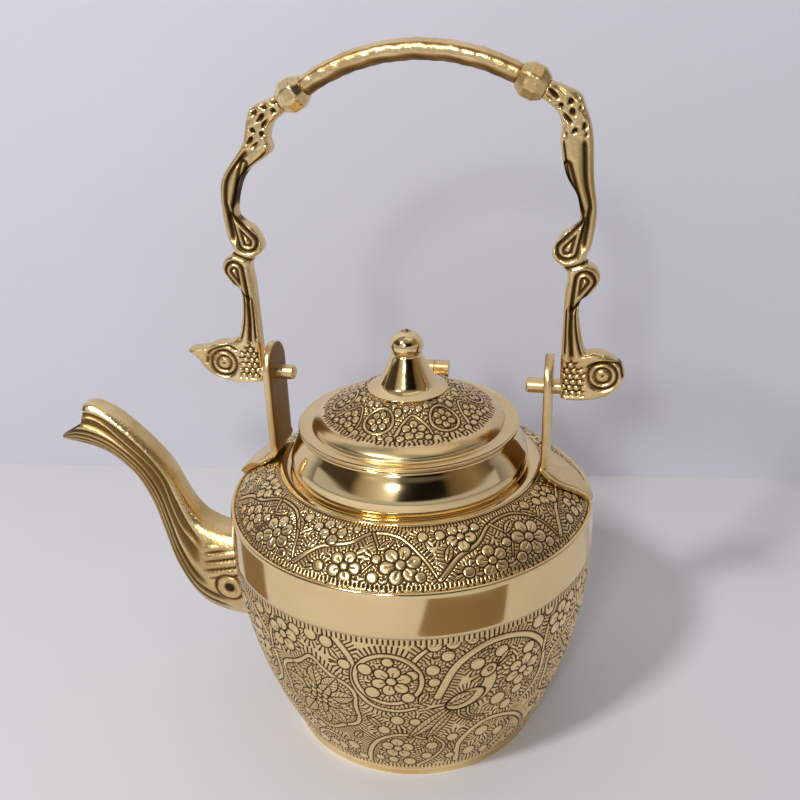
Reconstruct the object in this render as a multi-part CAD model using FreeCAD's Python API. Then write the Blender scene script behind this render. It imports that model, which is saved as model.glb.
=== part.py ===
import FreeCAD, Part
import os
from math import cos, degrees, hypot, pi, sin, sqrt

# Engraved brass teapot with a hinged lid and a tall swing handle, in millimetres.
# Origin: centre of the base. +Z is up, the spout points along -X, the lid hinge is at +Y.

V = FreeCAD.Vector
UP = V(0, 0, 1)
ALONG_X = V(1, 0, 0)
ALONG_Y = V(0, 1, 0)

# Points on each turned profile, an odd number
CURVE_POINTS = 13

# Fits
RUNNING_FIT = 0.05
SEAT_GAP = 0.25
LOOSE_GAP = 0.4
SOLDER_GAP = 0.1

# Base plate and bowl
BASE_RADIUS = 46.8
BASE_THICK = 1.6
BASE_LEDGE = 0.5
BASE_FLANGE = 8.0
SHEET = 1.2
BELLY_RADIUS = 63.7
BELLY_CURVE = 1.95
BAND_HEIGHT = 15.2
SEAM_HEIGHT = 87.2
SEAM_INSET = 0.7
BEAD = 1.5
SEAM_SEAT_DEPTH = 1.5
SEAM_LEDGE = 1.6

# Shoulder plate
SHOULDER_RISE = 11.4
SHOULDER_EDGE_DROP = 0.3
SHOULDER_CROWN = 1.6
SHOULDER_FLAT_RADIUS = 45.6

# Neck with its foot ring
RING_RADIUS = 44.9
RING_THICK = 0.9
RING_CROWN = 0.2
NECK_FOOT_RADIUS = 40.2
NECK_BULGE_RADIUS = 40.8
NECK_TOP_RADIUS = 36.2
NECK_WALL = 1.2
NECK_HEIGHT = 13.5
NECK_SEAT = 1.3
LIP_RADIUS = 37.2
LIP_THICK = 0.85

# Lid
BRIM_RADIUS = 37.5
BRIM_THICK = 1.1
BAND_RADIUS = 32.5
LID_BAND = 1.3
DOME_HEIGHT = 10.2
DOME_PAD_RADIUS = 14.0
SKIRT_RADIUS = 33.8
SKIRT_WALL = 1.0
SKIRT_DEPTH = 5.6

# Finial with its stud
FINIAL_RADIUS = 13.5
FINIAL_HEIGHT = 20.0
FINIAL_LIP = 0.5
BALL_RADIUS = 5.65
BALL_HALF_HEIGHT = 4.9
BALL_NECK_RADIUS = 5.1
BALL_CUT = 0.97
STUD_RADIUS = 1.6
STUD_RECESS = 0.7
STUD_TAIL = 1.5
WASHER_RADIUS = 5.0
WASHER_THICK = 1.0
NUT_FLATS = 6.5
NUT_THICK = 2.6

# Lid hinge
KNUCKLE_RADIUS = 3.0
HINGE_PIN_RADIUS = 1.25
HINGE_BEHIND_BRIM = 2.1
HINGE_ABOVE_BRIM = 2.6
HINGE_LENGTH = 15.0
LID_KNUCKLE = 4.2
NECK_LEAF_THICK = 1.8
NECK_LEAF_DROP = 9.5
LID_LEAF_THICK = 1.1
LID_LEAF_WIDTH = 12.0

# Brackets that carry the handle
BRACKET_X = 45.4
BRACKET_THICK = 2.75
BRACKET_WIDTH = 17.0
BRACKET_CROWN = 2.1
FOOT_TIP_WIDTH = 4.0
FOOT_OVERRUN = 0.1
PIVOT_RISE = 30.3

# Handle
PIN_RADIUS = 2.5
PIN_STUB = 6.0
PIN_SOCKET = 8.0
BOSS_RADIUS = 4.4
BOSS_HEIGHT = 1.7
ARM_DEPTH = 7.0
ARM_END_WIDTH = 5.4
ARM_HEIGHT_SPOUT_SIDE = 93.1
ARM_HEIGHT_REAR = 95.6
GRIP_CHORD = 63.9
GRIP_OFFSET = 3.05
GRIP_RISE = 8.4
GRIP_RADIUS = 3.15
COLLAR_LENGTH = 9.0
COLLAR_RADIUS = 5.4
COLLAR_END_RADIUS = 3.9
COLLAR_SIDES = 8
COLLAR_FLAT = 0.28

# Spout
SPOUT_WALL = 1.5
STRAINER_HOLE_RADIUS = 1.6
STRAINER_RING = 6.0
STRAINER_DROP = 40.0
STRAINER_COUNT = 6

# Levels that follow from the sizes above
SEAM_RADIUS = BELLY_RADIUS - SEAM_INSET
BELLY_HEIGHT = SEAM_HEIGHT - BAND_HEIGHT
BOWL_FOOT_RADIUS = BASE_RADIUS - BASE_LEDGE
SEAT_RADIUS = SEAM_RADIUS - BEAD
SEAT_HEIGHT = SEAM_HEIGHT - SEAM_SEAT_DEPTH
SHOULDER_EDGE_RADIUS = SEAT_RADIUS - SOLDER_GAP
SHOULDER_EDGE_HEIGHT = SEAM_HEIGHT - SHOULDER_EDGE_DROP
SHOULDER_TOP = SEAM_HEIGHT + SHOULDER_RISE
NECK_LIP_BASE = SHOULDER_TOP + NECK_HEIGHT
NECK_TOP = NECK_LIP_BASE + LIP_THICK
BRIM_BASE = NECK_TOP + SEAT_GAP
BRIM_TOP = BRIM_BASE + BRIM_THICK
DOME_BASE = BRIM_TOP + LID_BAND
DOME_TOP = DOME_BASE + DOME_HEIGHT
FINIAL_TOP = DOME_TOP + FINIAL_HEIGHT
STUD_HOLE_RADIUS = STUD_RADIUS + SOLDER_GAP
HINGE_Y = BRIM_RADIUS + HINGE_BEHIND_BRIM
HINGE_Z = BRIM_TOP + HINGE_ABOVE_BRIM
PIVOT_Z = SHOULDER_TOP + PIVOT_RISE
ARM_X = BRACKET_X + BRACKET_THICK + LOOSE_GAP + BOSS_HEIGHT

# Handle arm outline. Points are (outwards, upwards): the upper ones from the arm's top end,
# the lower ones from the pivot, outwards of the arm's inner face.
ARM_OUTER_TOP = ((9.0, -0.9), (11.2, -4.8), (13.5, -12.2))
ARM_OUTER_SHAFT = ((7.3, 66.0), (8.6, 57.0), (7.7, 47.5), (6.2, 42.5))
ARM_OUTER_LOBE = ((9.4, 39.8), (10.6, 36.5), (8.4, 32.3), (5.2, 29.5), (5.0, 24.0), (6.2, 17.0), (7.8, 12.8))
ARM_INNER_TOP = ((3.0, -5.8), (4.6, -10.0), (4.4, -14.2))
ARM_INNER_SHAFT = ((-0.9, 68.0), (2.7, 61.5), (3.7, 54.5))
ARM_INNER_LOBE = ((1.2, 51.8), (-1.6, 50.0), (-4.0, 45.0), (-3.0, 42.2), (0.8, 38.4))
ARM_INNER_FOOT = ((0.3, 31.0), (0.2, 20.0), (0.0, 8.0))
FOOT_CORNER = (0.4, -3.4)
BEAK_BACK = ((11.5, 10.9), (16.3, 10.3), (20.2, 8.7), (26.8, 7.3))
BEAK_BELLY = ((24.2, 5.0), (19.5, -0.7), (11.7, -3.6), (5.1, -3.8))
HEAD_CROWN = ((11.2, 13.1), (14.6, 12.3), (18.4, 9.6), (20.1, 6.2))
HEAD_BELLY = ((18.8, 2.0), (15.8, -1.4), (11.5, -2.8), (5.8, -3.6))

# Spout sections: top and bottom points as (out from the belly, up from the seam), then half the width.
SPOUT_SECTIONS = (
    ((-10.0, -24.0), (-10.0, -61.5), 11.5),
    ((6.3, -22.7), (7.1, -61.3), 11.0),
    ((14.3, -19.6), (20.8, -56.0), 9.5),
    ((18.8, -15.2), (29.3, -41.7), 7.8),
    ((23.0, -7.2), (33.3, -25.7), 6.6),
    ((26.8, 1.8), (36.1, -14.2), 6.2),
    ((32.8, 9.8), (41.0, -3.6), 6.0),
    ((41.3, 18.4), (48.8, 4.0), 5.8),
    ((49.7, 24.5), (55.8, 7.3), 5.6),
    ((58.3, 25.3), (62.8, 8.8), 5.2),
)
SPOUT_TIP = ((69.8, 14.3), (69.8, 9.4), 1.6)
MOUTH_LIP = ((57.6, 22.8), (59.1, 17.8), (62.8, 15.2), (71.3, 10.2))
MOUTH_CUT = ((57.3, 38.0),) + MOUTH_LIP + ((82.0, 10.2), (82.0, 38.0))


def spaced(first, last, count):
    """Evenly spaced values from first to last."""
    return [first + (last - first) * step / (count - 1) for step in range(count)]


def in_plane(points):
    """(x, z) pairs as vectors in the XZ plane."""
    return [V(x, 0, z) for x, z in points]


def lines(*points):
    """Straight edges through (x, z) points."""
    corners = in_plane(points)
    return [Part.LineSegment(a, b).toShape() for a, b in zip(corners, corners[1:])]


def curve(*points):
    """One smooth edge through (x, z) points."""
    spline = Part.BSplineCurve()
    spline.interpolate(in_plane(points))
    return [spline.toShape()]


def arc(start, middle, end):
    """One circular edge through three (x, z) points."""
    return [Part.Arc(*in_plane((start, middle, end))).toShape()]


def arcs(*points):
    """A chain of circular edges, each through three (x, z) points."""
    edges = []
    for start, middle, end in zip(points[0::2], points[1::2], points[2::2]):
        edges += arc(start, middle, end)
    return edges


def outline_face(edges):
    """Face inside a closed chain of edges."""
    return Part.Face(Part.Wire(Part.__sortEdges__(edges)))


def turned(edges):
    """Solid of revolution about the pot's axis."""
    return outline_face(edges).revolve(V(0, 0, 0), UP, 360)


def shifted(points, distance):
    """Points of an (r, z) curve moved along its left-hand normals."""
    moved = []
    last = len(points) - 1
    for index, (r, z) in enumerate(points):
        before = points[max(index - 1, 0)]
        after = points[min(index + 1, last)]
        run, rise = after[0] - before[0], after[1] - before[1]
        length = hypot(run, rise)
        moved.append((r - distance * rise / length, z + distance * run / length))
    return moved


def along_x(radius, start, end, y=0.0, z=0.0):
    """Cylinder along X between two x values."""
    low = min(start, end)
    return Part.makeCylinder(radius, abs(end - start), V(low, y, z), ALONG_X)


def bowl_radius(z):
    """Outside radius of the bowl: a power curve to the belly, then a slight draw-in to the seam."""
    if z < BELLY_HEIGHT:
        return BELLY_RADIUS - (BELLY_RADIUS - BOWL_FOOT_RADIUS) * (1 - z / BELLY_HEIGHT) ** BELLY_CURVE
    return BELLY_RADIUS - SEAM_INSET * ((z - BELLY_HEIGHT) / BAND_HEIGHT) ** 2


def bowl_curve():
    """Outside of the bowl from its foot to the middle of the seam bead."""
    return [(bowl_radius(z), z) for z in spaced(BASE_THICK, SEAM_HEIGHT - BEAD / 2, CURVE_POINTS)]


def shoulder_curve(reach=0.0):
    """Outside of the shoulder, a crowned slope from the seam to the flat under the neck."""
    run = SHOULDER_EDGE_RADIUS - SHOULDER_FLAT_RADIUS
    rise = SHOULDER_TOP - SHOULDER_EDGE_HEIGHT
    slope = hypot(run, rise)
    points = []
    for share in spaced(-reach, 1.0, CURVE_POINTS):
        crown = 4 * SHOULDER_CROWN * share * (1 - share)
        r = SHOULDER_EDGE_RADIUS - run * share + crown * rise / slope
        points.append((r, SHOULDER_EDGE_HEIGHT + rise * share + crown * run / slope))
    return points


def neck_curve():
    """Outside of the neck: a low bulge that draws in towards the lip."""
    draw = NECK_BULGE_RADIUS - NECK_TOP_RADIUS
    shape = ((0.4, 0.1), (0.6, 0.33), (0.8, 0.63))
    points = [(NECK_FOOT_RADIUS, SHOULDER_TOP)]
    points.append((NECK_BULGE_RADIUS, SHOULDER_TOP + 0.2 * NECK_HEIGHT))
    points += [(NECK_BULGE_RADIUS - draw * drawn, SHOULDER_TOP + up * NECK_HEIGHT) for up, drawn in shape]
    points.append((NECK_TOP_RADIUS, NECK_LIP_BASE))
    return points


def dome_curve():
    """Outside of the lid's dome from its band up to the pad under the finial."""
    run = BAND_RADIUS - DOME_PAD_RADIUS
    shape = ((0.0, 0.0), (0.03, 0.11), (0.1, 0.19), (0.23, 0.3), (0.51, 0.54), (0.78, 0.82), (1.0, 1.0))
    return [(BAND_RADIUS - run * inwards, DOME_BASE + DOME_HEIGHT * up) for inwards, up in shape]


def base_plate():
    """Plain disc whose edge stands a little proud of the bowl."""
    return Part.makeCylinder(BASE_RADIUS, BASE_THICK)


def bowl_envelope():
    """The bowl as if it were solid, to cut the spout's foot to its surface."""
    outside = bowl_curve()
    top = outside[-1]
    return turned(arcs(*outside) + lines(top, (0, top[1]), (0, BASE_THICK), outside[0]))


def body_bowl():
    """Spun bowl with an inturned foot, a rolled seam bead with a seat, and strainer holes."""
    outside = bowl_curve()
    bead_height = SEAM_HEIGHT - BEAD / 2
    foot_inner = BOWL_FOOT_RADIUS - BASE_FLANGE
    floor = BASE_THICK + SHEET
    step_base = SEAT_HEIGHT - 3 * SHEET
    inside = [(bowl_radius(z) - SHEET, z) for z in spaced(floor + SHEET, step_base, CURVE_POINTS)]
    ledge_radius = SEAT_RADIUS - SEAM_LEDGE
    edges = arcs(*outside)
    edges += arc(outside[-1], (SEAM_RADIUS - BEAD / 2, SEAM_HEIGHT), (SEAT_RADIUS, bead_height))
    edges += lines((SEAT_RADIUS, bead_height), (SEAT_RADIUS, SEAT_HEIGHT), (ledge_radius, SEAT_HEIGHT),
                   (ledge_radius, SEAT_HEIGHT - SHEET), inside[-1])
    edges += arcs(*inside)
    edges += lines(inside[0], (inside[0][0] - SHEET, floor), (foot_inner, floor), (foot_inner, BASE_THICK),
                   outside[0])
    bowl = turned(edges)
    reach = BELLY_RADIUS + SHEET
    middle = SEAM_HEIGHT - STRAINER_DROP
    places = [(0.0, middle)]
    for step in range(STRAINER_COUNT):
        turn = 2 * pi * step / STRAINER_COUNT
        places.append((STRAINER_RING * cos(turn), middle + STRAINER_RING * sin(turn)))
    for y, z in places:
        bowl = bowl.cut(along_x(STRAINER_HOLE_RADIUS, -reach, -reach / 2, y, z))
    return bowl


def shoulder_plate():
    """Crowned shoulder whose edge sits in the bead and whose flat carries the neck."""
    outside = shoulder_curve()
    inside = shifted(outside, SHEET)
    hole = NECK_FOOT_RADIUS - NECK_SEAT
    edges = arcs(*outside)
    edges += lines(outside[-1], (hole, SHOULDER_TOP), (hole, SHOULDER_TOP - SHEET),
                   (inside[-1][0], SHOULDER_TOP - SHEET), inside[-1])
    edges += arcs(*inside)
    edges += lines(inside[0], (inside[0][0], SEAT_HEIGHT), (SHOULDER_EDGE_RADIUS, SEAT_HEIGHT), outside[0])
    return turned(edges)


def solder_curve():
    """Top of the solder under a bracket's foot, run on a little past the seam."""
    return shifted(shoulder_curve(FOOT_OVERRUN), -SOLDER_GAP)


def solder_envelope():
    """Everything under the solder on the shoulder, to cut the brackets' uprights to it."""
    outside = solder_curve()
    below = SEAT_HEIGHT - BRACKET_WIDTH
    edges = arcs(*outside)
    edges += lines(outside[-1], (0, outside[-1][1]), (0, below), (outside[0][0], below), outside[0])
    return turned(edges)


def neck_ring():
    """Low crowned ring round the foot of the neck."""
    inner = NECK_BULGE_RADIUS + SOLDER_GAP
    shoulder = SHOULDER_TOP + RING_THICK
    middle = ((inner + RING_RADIUS) / 2, shoulder + RING_CROWN)
    edge, bore = (RING_RADIUS, shoulder), (inner, shoulder)
    edges = lines(edge, (RING_RADIUS, SHOULDER_TOP), (inner, SHOULDER_TOP), bore)
    return turned(edges + arc(bore, middle, edge))


def neck_collar():
    """Bulged neck with a flat foot and a lip for the lid's brim."""
    outside = neck_curve()
    inside = shifted(outside, NECK_WALL)
    bore = NECK_TOP_RADIUS - NECK_WALL
    edges = curve(*outside)
    lip = ((LIP_RADIUS, NECK_LIP_BASE), (LIP_RADIUS, NECK_TOP), (bore, NECK_TOP))
    edges += lines(outside[-1], *lip, inside[-1])
    edges += curve(*inside)
    edges += lines(inside[0], (inside[0][0], SHOULDER_TOP), outside[0])
    return turned(edges)


def lid_dome():
    """Hat-shaped lid: flat brim, short band, dome and the pad that carries the finial."""
    outside = dome_curve()
    inside = shifted(outside, BRIM_THICK)
    band_inner = BAND_RADIUS - BRIM_THICK
    pad_under = DOME_TOP - BRIM_THICK
    edges = curve(*outside)
    edges += lines(outside[-1], (STUD_HOLE_RADIUS, DOME_TOP), (STUD_HOLE_RADIUS, pad_under),
                   (inside[-1][0], pad_under), inside[-1])
    edges += curve(*inside)
    edges += lines(inside[0], (band_inner, BRIM_BASE), (BRIM_RADIUS, BRIM_BASE), (BRIM_RADIUS, BRIM_TOP),
                   (BAND_RADIUS, BRIM_TOP), outside[0])
    return turned(edges)


def lid_skirt():
    """Ring under the brim that keeps the lid in the neck."""
    base = V(0, 0, BRIM_BASE - SKIRT_DEPTH)
    ring = Part.makeCylinder(SKIRT_RADIUS, SKIRT_DEPTH, base)
    return ring.cut(Part.makeCylinder(SKIRT_RADIUS - SKIRT_WALL, SKIRT_DEPTH, base))


def finial():
    """Turned cone with a flattened ball and a hole for the stud."""
    lip = DOME_TOP + FINIAL_LIP
    ball_z = FINIAL_TOP - BALL_HALF_HEIGHT
    first = -sqrt(1 - (BALL_NECK_RADIUS / BALL_RADIUS) ** 2)
    ball = []
    for height in spaced(first, BALL_CUT, CURVE_POINTS):
        ball.append((BALL_RADIUS * sqrt(1 - height ** 2), ball_z + BALL_HALF_HEIGHT * height))
    taper = FINIAL_RADIUS - BALL_NECK_RADIUS
    rise = ball[0][1] - lip
    shape = ((0.0, 0.0), (0.15, 0.05), (0.38, 0.19), (0.58, 0.39), (0.77, 0.6), (0.92, 0.81), (1.0, 1.0))
    cone = [(FINIAL_RADIUS - taper * inwards, lip + rise * up) for inwards, up in shape]
    edges = curve(*cone) + curve(*ball)
    bore = ((STUD_HOLE_RADIUS, ball[-1][1]), (STUD_HOLE_RADIUS, DOME_TOP))
    edges += lines(ball[-1], *bore, (FINIAL_RADIUS, DOME_TOP), cone[0])
    return turned(edges)


def finial_stud():
    """Rod through finial, dome, washer and nut."""
    tail = DOME_TOP - BRIM_THICK - WASHER_THICK - NUT_THICK - STUD_TAIL
    return Part.makeCylinder(STUD_RADIUS, FINIAL_TOP - STUD_RECESS - tail, V(0, 0, tail))


def finial_washer():
    """Washer under the dome's pad."""
    base = V(0, 0, DOME_TOP - BRIM_THICK - WASHER_THICK)
    disc = Part.makeCylinder(WASHER_RADIUS, WASHER_THICK, base)
    return disc.cut(Part.makeCylinder(STUD_HOLE_RADIUS, WASHER_THICK, base))


def finial_nut():
    """Hexagon nut on the stud, drawn without its thread."""
    base = DOME_TOP - BRIM_THICK - WASHER_THICK - NUT_THICK
    reach = NUT_FLATS / sqrt(3)
    turns = [2 * pi * corner / 6 for corner in range(7)]
    hexagon = Part.makePolygon([V(reach * cos(turn), reach * sin(turn), base) for turn in turns])
    nut = Part.Face(hexagon).extrude(V(0, 0, NUT_THICK))
    return nut.cut(Part.makeCylinder(STUD_HOLE_RADIUS, NUT_THICK, V(0, 0, base)))


def knuckle(start, end, bore):
    """Hinge tube along the hinge axis with its bore."""
    tube = along_x(KNUCKLE_RADIUS, start, end, HINGE_Y, HINGE_Z)
    return tube.cut(along_x(bore, start, end, HINGE_Y, HINGE_Z))


def hinge_neck_leaf():
    """Strap on the back of the neck with the two outer knuckles."""
    half = HINGE_LENGTH / 2
    inner = LID_KNUCKLE / 2 + SEAT_GAP
    front = BRIM_RADIUS + LOOSE_GAP
    bottom = BRIM_BASE - NECK_LEAF_DROP
    outside = neck_curve()
    axis = ((0, NECK_LIP_BASE), (0, SHOULDER_TOP))
    neck_solid = turned(curve(*outside) + lines(outside[-1], *axis, outside[0]))
    leaf = Part.makeBox(HINGE_LENGTH, NECK_LEAF_THICK, HINGE_Z - bottom, V(-half, front, bottom))
    room_height = HINGE_Z - BRIM_BASE + LOOSE_GAP
    lid_room = Part.makeBox(2 * inner, NECK_LEAF_THICK, room_height, V(-inner, front, BRIM_BASE - LOOSE_GAP))
    leaf = leaf.cut(neck_solid).cut(lid_room)
    for start, end in ((-half, -inner), (inner, half)):
        leaf = leaf.cut(along_x(HINGE_PIN_RADIUS, start, end, HINGE_Y, HINGE_Z))
        leaf = leaf.fuse(knuckle(start, end, HINGE_PIN_RADIUS))
    return leaf.removeSplitter()


def hinge_pin():
    """Pin held in the outer knuckles."""
    return along_x(HINGE_PIN_RADIUS, -HINGE_LENGTH / 2, HINGE_LENGTH / 2, HINGE_Y, HINGE_Z)


def hinge_lid_leaf():
    """Leaf on the brim behind the dome, with a tongue to the middle knuckle."""
    half = LID_KNUCKLE / 2
    back = HINGE_Y - KNUCKLE_RADIUS - LOOSE_GAP
    front = BAND_RADIUS - BRIM_THICK
    corner = V(-LID_LEAF_WIDTH / 2, front, BRIM_TOP)
    plate = Part.makeBox(LID_LEAF_WIDTH, back - front, LID_LEAF_THICK, corner)
    plate = plate.cut(Part.makeCylinder(BAND_RADIUS, LID_LEAF_THICK, V(0, 0, BRIM_TOP)))
    tongue = Part.makeBox(LID_KNUCKLE, HINGE_Y - back, LID_LEAF_THICK, V(-half, back, BRIM_TOP))
    tube = along_x(KNUCKLE_RADIUS, -half, half, HINGE_Y, HINGE_Z)
    leaf = plate.fuse(tongue).fuse(tube)
    brim = Part.makeCylinder(BRIM_RADIUS, BRIM_THICK, V(0, 0, BRIM_BASE))
    bore = along_x(HINGE_PIN_RADIUS + RUNNING_FIT, -half, half, HINGE_Y, HINGE_Z)
    return leaf.cut(bore).cut(brim).removeSplitter()


def bracket():
    """Spout-side strip with a round top and a pivot hole, bent outwards into a foot on the shoulder."""
    half = BRACKET_WIDTH / 2
    bend = BRACKET_X + BRACKET_THICK
    crown = PIVOT_Z + BRACKET_CROWN
    upright = Part.makeBox(BRACKET_THICK, BRACKET_WIDTH, crown - SEAT_HEIGHT, V(-bend, -half, SEAT_HEIGHT))
    upright = upright.fuse(along_x(half, -BRACKET_X, -bend, 0, crown)).cut(solder_envelope())
    under = solder_curve()
    over = shifted(under, -BRACKET_THICK)
    sheet = turned(arcs(*under) + arcs(*over) + lines(under[0], over[0]) + lines(under[-1], over[-1]))
    reach = SEAM_RADIUS
    tip = FOOT_TIP_WIDTH / 2
    plan = [(BRACKET_X, -half), (bend, -half), (reach - tip, -tip), (reach, 0)]
    plan += [(x, -y) for x, y in plan[-2::-1]] + plan[:1]
    tongue = Part.Face(Part.makePolygon([V(-x, y, SEAT_HEIGHT) for x, y in plan]))
    foot = tongue.extrude(V(0, 0, crown - SEAT_HEIGHT)).common(sheet).cut(body_bowl())
    hole = along_x(PIN_RADIUS + RUNNING_FIT, -BRACKET_X, -bend, 0, PIVOT_Z)
    return upright.fuse(foot).cut(hole).removeSplitter()


def mirrored(shape):
    """The same piece on the other side of the pot."""
    return shape.mirror(V(0, 0, 0), ALONG_X)


def grip_arc():
    """Centre of the grip's arc and its two ends, as (x, z)."""
    spout_end = (GRIP_OFFSET - GRIP_CHORD / 2, PIVOT_Z + ARM_HEIGHT_SPOUT_SIDE)
    rear_end = (GRIP_OFFSET + GRIP_CHORD / 2, PIVOT_Z + ARM_HEIGHT_REAR)
    run, lift = rear_end[0] - spout_end[0], rear_end[1] - spout_end[1]
    chord = hypot(run, lift)
    radius = (chord ** 2 / 4 + GRIP_RISE ** 2) / (2 * GRIP_RISE)
    drop = radius - GRIP_RISE
    middle_x, middle_z = (spout_end[0] + rear_end[0]) / 2, (spout_end[1] + rear_end[1]) / 2
    centre = (middle_x + drop * lift / chord, middle_z - drop * run / chord)
    return centre, spout_end, rear_end


def grip_bar():
    """Round bar along a circular arc between the two collars."""
    centre, spout_end, rear_end = grip_arc()
    out = V(spout_end[0] - centre[0], 0, spout_end[1] - centre[1])
    back = V(rear_end[0] - centre[0], 0, rear_end[1] - centre[1])
    section = Part.Circle(V(spout_end[0], 0, spout_end[1]), out.cross(ALONG_Y), GRIP_RADIUS).toShape()
    face = Part.Face(Part.Wire(section))
    return face.revolve(V(centre[0], 0, centre[1]), ALONG_Y, degrees(out.getAngle(back)))


def grip_end(side):
    """End of the grip's arc on one side, and the direction in which the handle goes on from it."""
    centre, spout_end, rear_end = grip_arc()
    x, z = spout_end if side < 0 else rear_end
    away = V(side * (z - centre[1]), 0, side * (centre[0] - x))
    return V(x, 0, z), away.normalize()


def grip_collar(side):
    """Faceted bead between the grip and an arm."""
    start, along = grip_end(side)
    sections = []
    swell = ((COLLAR_FLAT, COLLAR_RADIUS), (1 - COLLAR_FLAT, COLLAR_RADIUS))
    for share, radius in ((0.0, COLLAR_END_RADIUS), *swell, (1.0, COLLAR_END_RADIUS)):
        middle = start + along * (COLLAR_LENGTH * share)
        across = along.cross(ALONG_Y)
        corners = []
        for corner in range(COLLAR_SIDES + 1):
            turn = 2 * pi * (corner + 0.5) / COLLAR_SIDES
            corners.append(middle + across * (radius * cos(turn)) + ALONG_Y * (radius * sin(turn)))
        sections.append(Part.makePolygon(corners))
    return Part.makeLoft(sections, True, True)


def handle_arm(side):
    """Scrolled flat arm from the collar to its foot, with a boss and a socket for the pivot pin."""
    start, along = grip_end(side)
    top = start + along * COLLAR_LENGTH
    half_end = along.cross(ALONG_Y) * (ARM_END_WIDTH / 2)
    corners = sorted(((top + half_end), (top - half_end)), key=lambda corner: corner.z)
    inner_corner, outer_corner = [(corner.x, corner.z) for corner in corners]

    def from_top(points):
        return [(top.x + side * out, top.z + up) for out, up in points]

    def from_pivot(points):
        return [(side * (ARM_X + out), PIVOT_Z + up) for out, up in points]

    outer_shaft = [outer_corner] + from_top(ARM_OUTER_TOP) + from_pivot(ARM_OUTER_SHAFT)
    outer_lobe = [outer_shaft[-1]] + from_pivot(ARM_OUTER_LOBE)
    inner_top = [inner_corner] + from_top(ARM_INNER_TOP)
    inner_shaft = [inner_top[-1]] + from_pivot(ARM_INNER_SHAFT)
    inner_lobe = [inner_shaft[-1]] + from_pivot(ARM_INNER_LOBE)
    inner_foot = [inner_lobe[-1]] + from_pivot(ARM_INNER_FOOT)
    foot_corner = from_pivot((FOOT_CORNER,))[0]
    edges = curve(*outer_shaft) + curve(*outer_lobe) + curve(*inner_top) + curve(*inner_shaft)
    edges += curve(*inner_lobe) + curve(*inner_foot)
    edges += lines(outer_corner, inner_corner) + lines(inner_foot[-1], foot_corner)
    if side < 0:
        beak = [outer_lobe[-1]] + from_pivot(BEAK_BACK)
        edges += curve(*beak) + curve(beak[-1], *from_pivot(BEAK_BELLY), foot_corner)
    else:
        edges += curve(outer_lobe[-1], *from_pivot(HEAD_CROWN + HEAD_BELLY), foot_corner)
    arm = outline_face(edges).extrude(V(0, ARM_DEPTH, 0))
    arm.translate(V(0, -ARM_DEPTH / 2, 0))
    boss_face = side * (ARM_X - BOSS_HEIGHT)
    socket_end = side * (ARM_X + PIN_SOCKET)
    arm = arm.fuse(along_x(BOSS_RADIUS, boss_face, side * (ARM_X + BOSS_HEIGHT), 0, PIVOT_Z))
    return arm.cut(along_x(PIN_RADIUS, boss_face, socket_end, 0, PIVOT_Z)).removeSplitter()


def pivot_pin(side):
    """Stub pin from the arm's socket through the bracket, with a chamfered inner end."""
    inner = side * (BRACKET_X - PIN_STUB)
    pin = along_x(PIN_RADIUS, inner, side * (ARM_X + PIN_SOCKET), 0, PIVOT_Z)
    end = [edge for edge in pin.Edges if abs(edge.CenterOfMass.x - inner) < RUNNING_FIT and edge.Closed]
    return pin.makeChamfer(PIN_RADIUS / 4, end)


def spout_section(top, bottom, half_width, wall):
    """Elliptic wire between a top and a bottom point, drawn in by the wall."""
    high = V(-BELLY_RADIUS - top[0], 0, SEAM_HEIGHT + top[1])
    low = V(-BELLY_RADIUS - bottom[0], 0, SEAM_HEIGHT + bottom[1])
    middle = (high + low) / 2
    reach = (high - middle).Length - wall
    crest = middle + (high - middle).normalize() * reach
    flank = middle + ALONG_Y * (half_width - wall)
    return Part.Wire(Part.Ellipse(crest, flank, middle).toShape())


def spout():
    """Hollow curved spout with a beak mouth, cut to the bowl at its foot."""
    outer = [spout_section(*section, 0.0) for section in SPOUT_SECTIONS + (SPOUT_TIP,)]
    bore = [spout_section(*section, SPOUT_WALL) for section in SPOUT_SECTIONS]
    shell = Part.makeLoft(outer, True).cut(Part.makeLoft(bore, True))
    mouth = [V(-BELLY_RADIUS - out, -BELLY_RADIUS, SEAM_HEIGHT + up) for out, up in MOUTH_CUT]
    opening = Part.Face(Part.makePolygon(mouth + mouth[:1])).extrude(V(0, 2 * BELLY_RADIUS, 0))
    pieces = shell.cut(opening).cut(bowl_envelope()).Solids
    return max(pieces, key=lambda piece: piece.Volume)


NODES = {
    "base_plate": base_plate(),
    "body_bowl": body_bowl(),
    "shoulder_plate": shoulder_plate(),
    "neck_ring": neck_ring(),
    "neck_collar": neck_collar(),
    "spout": spout(),
    "bracket_spout_side": bracket(),
    "bracket_rear": mirrored(bracket()),
    "hinge_neck_leaf": hinge_neck_leaf(),
    "hinge_pin": hinge_pin(),
    "lid_dome": lid_dome(),
    "lid_skirt": lid_skirt(),
    "finial": finial(),
    "finial_stud": finial_stud(),
    "finial_washer": finial_washer(),
    "finial_nut": finial_nut(),
    "hinge_lid_leaf": hinge_lid_leaf(),
    "handle_arm_spout_side": handle_arm(-1),
    "handle_arm_rear": handle_arm(1),
    "grip_bar": grip_bar(),
    "grip_collar_spout_side": grip_collar(-1),
    "grip_collar_rear": grip_collar(1),
    "pivot_pin_spout_side": pivot_pin(-1),
    "pivot_pin_rear": pivot_pin(1),
}

os.makedirs("parts", exist_ok=True)
for name, shape in NODES.items():
    shape.exportStep(f"parts/{name}.step")
    box = shape.BoundBox
    print(f"{name}: solids {len(shape.Solids)} valid {shape.isValid()} volume {shape.Volume:.0f}"
          f" z {box.ZMin:.1f} to {box.ZMax:.1f}")
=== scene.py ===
import bpy
import numpy as np
from mathutils import Matrix, Vector


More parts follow.
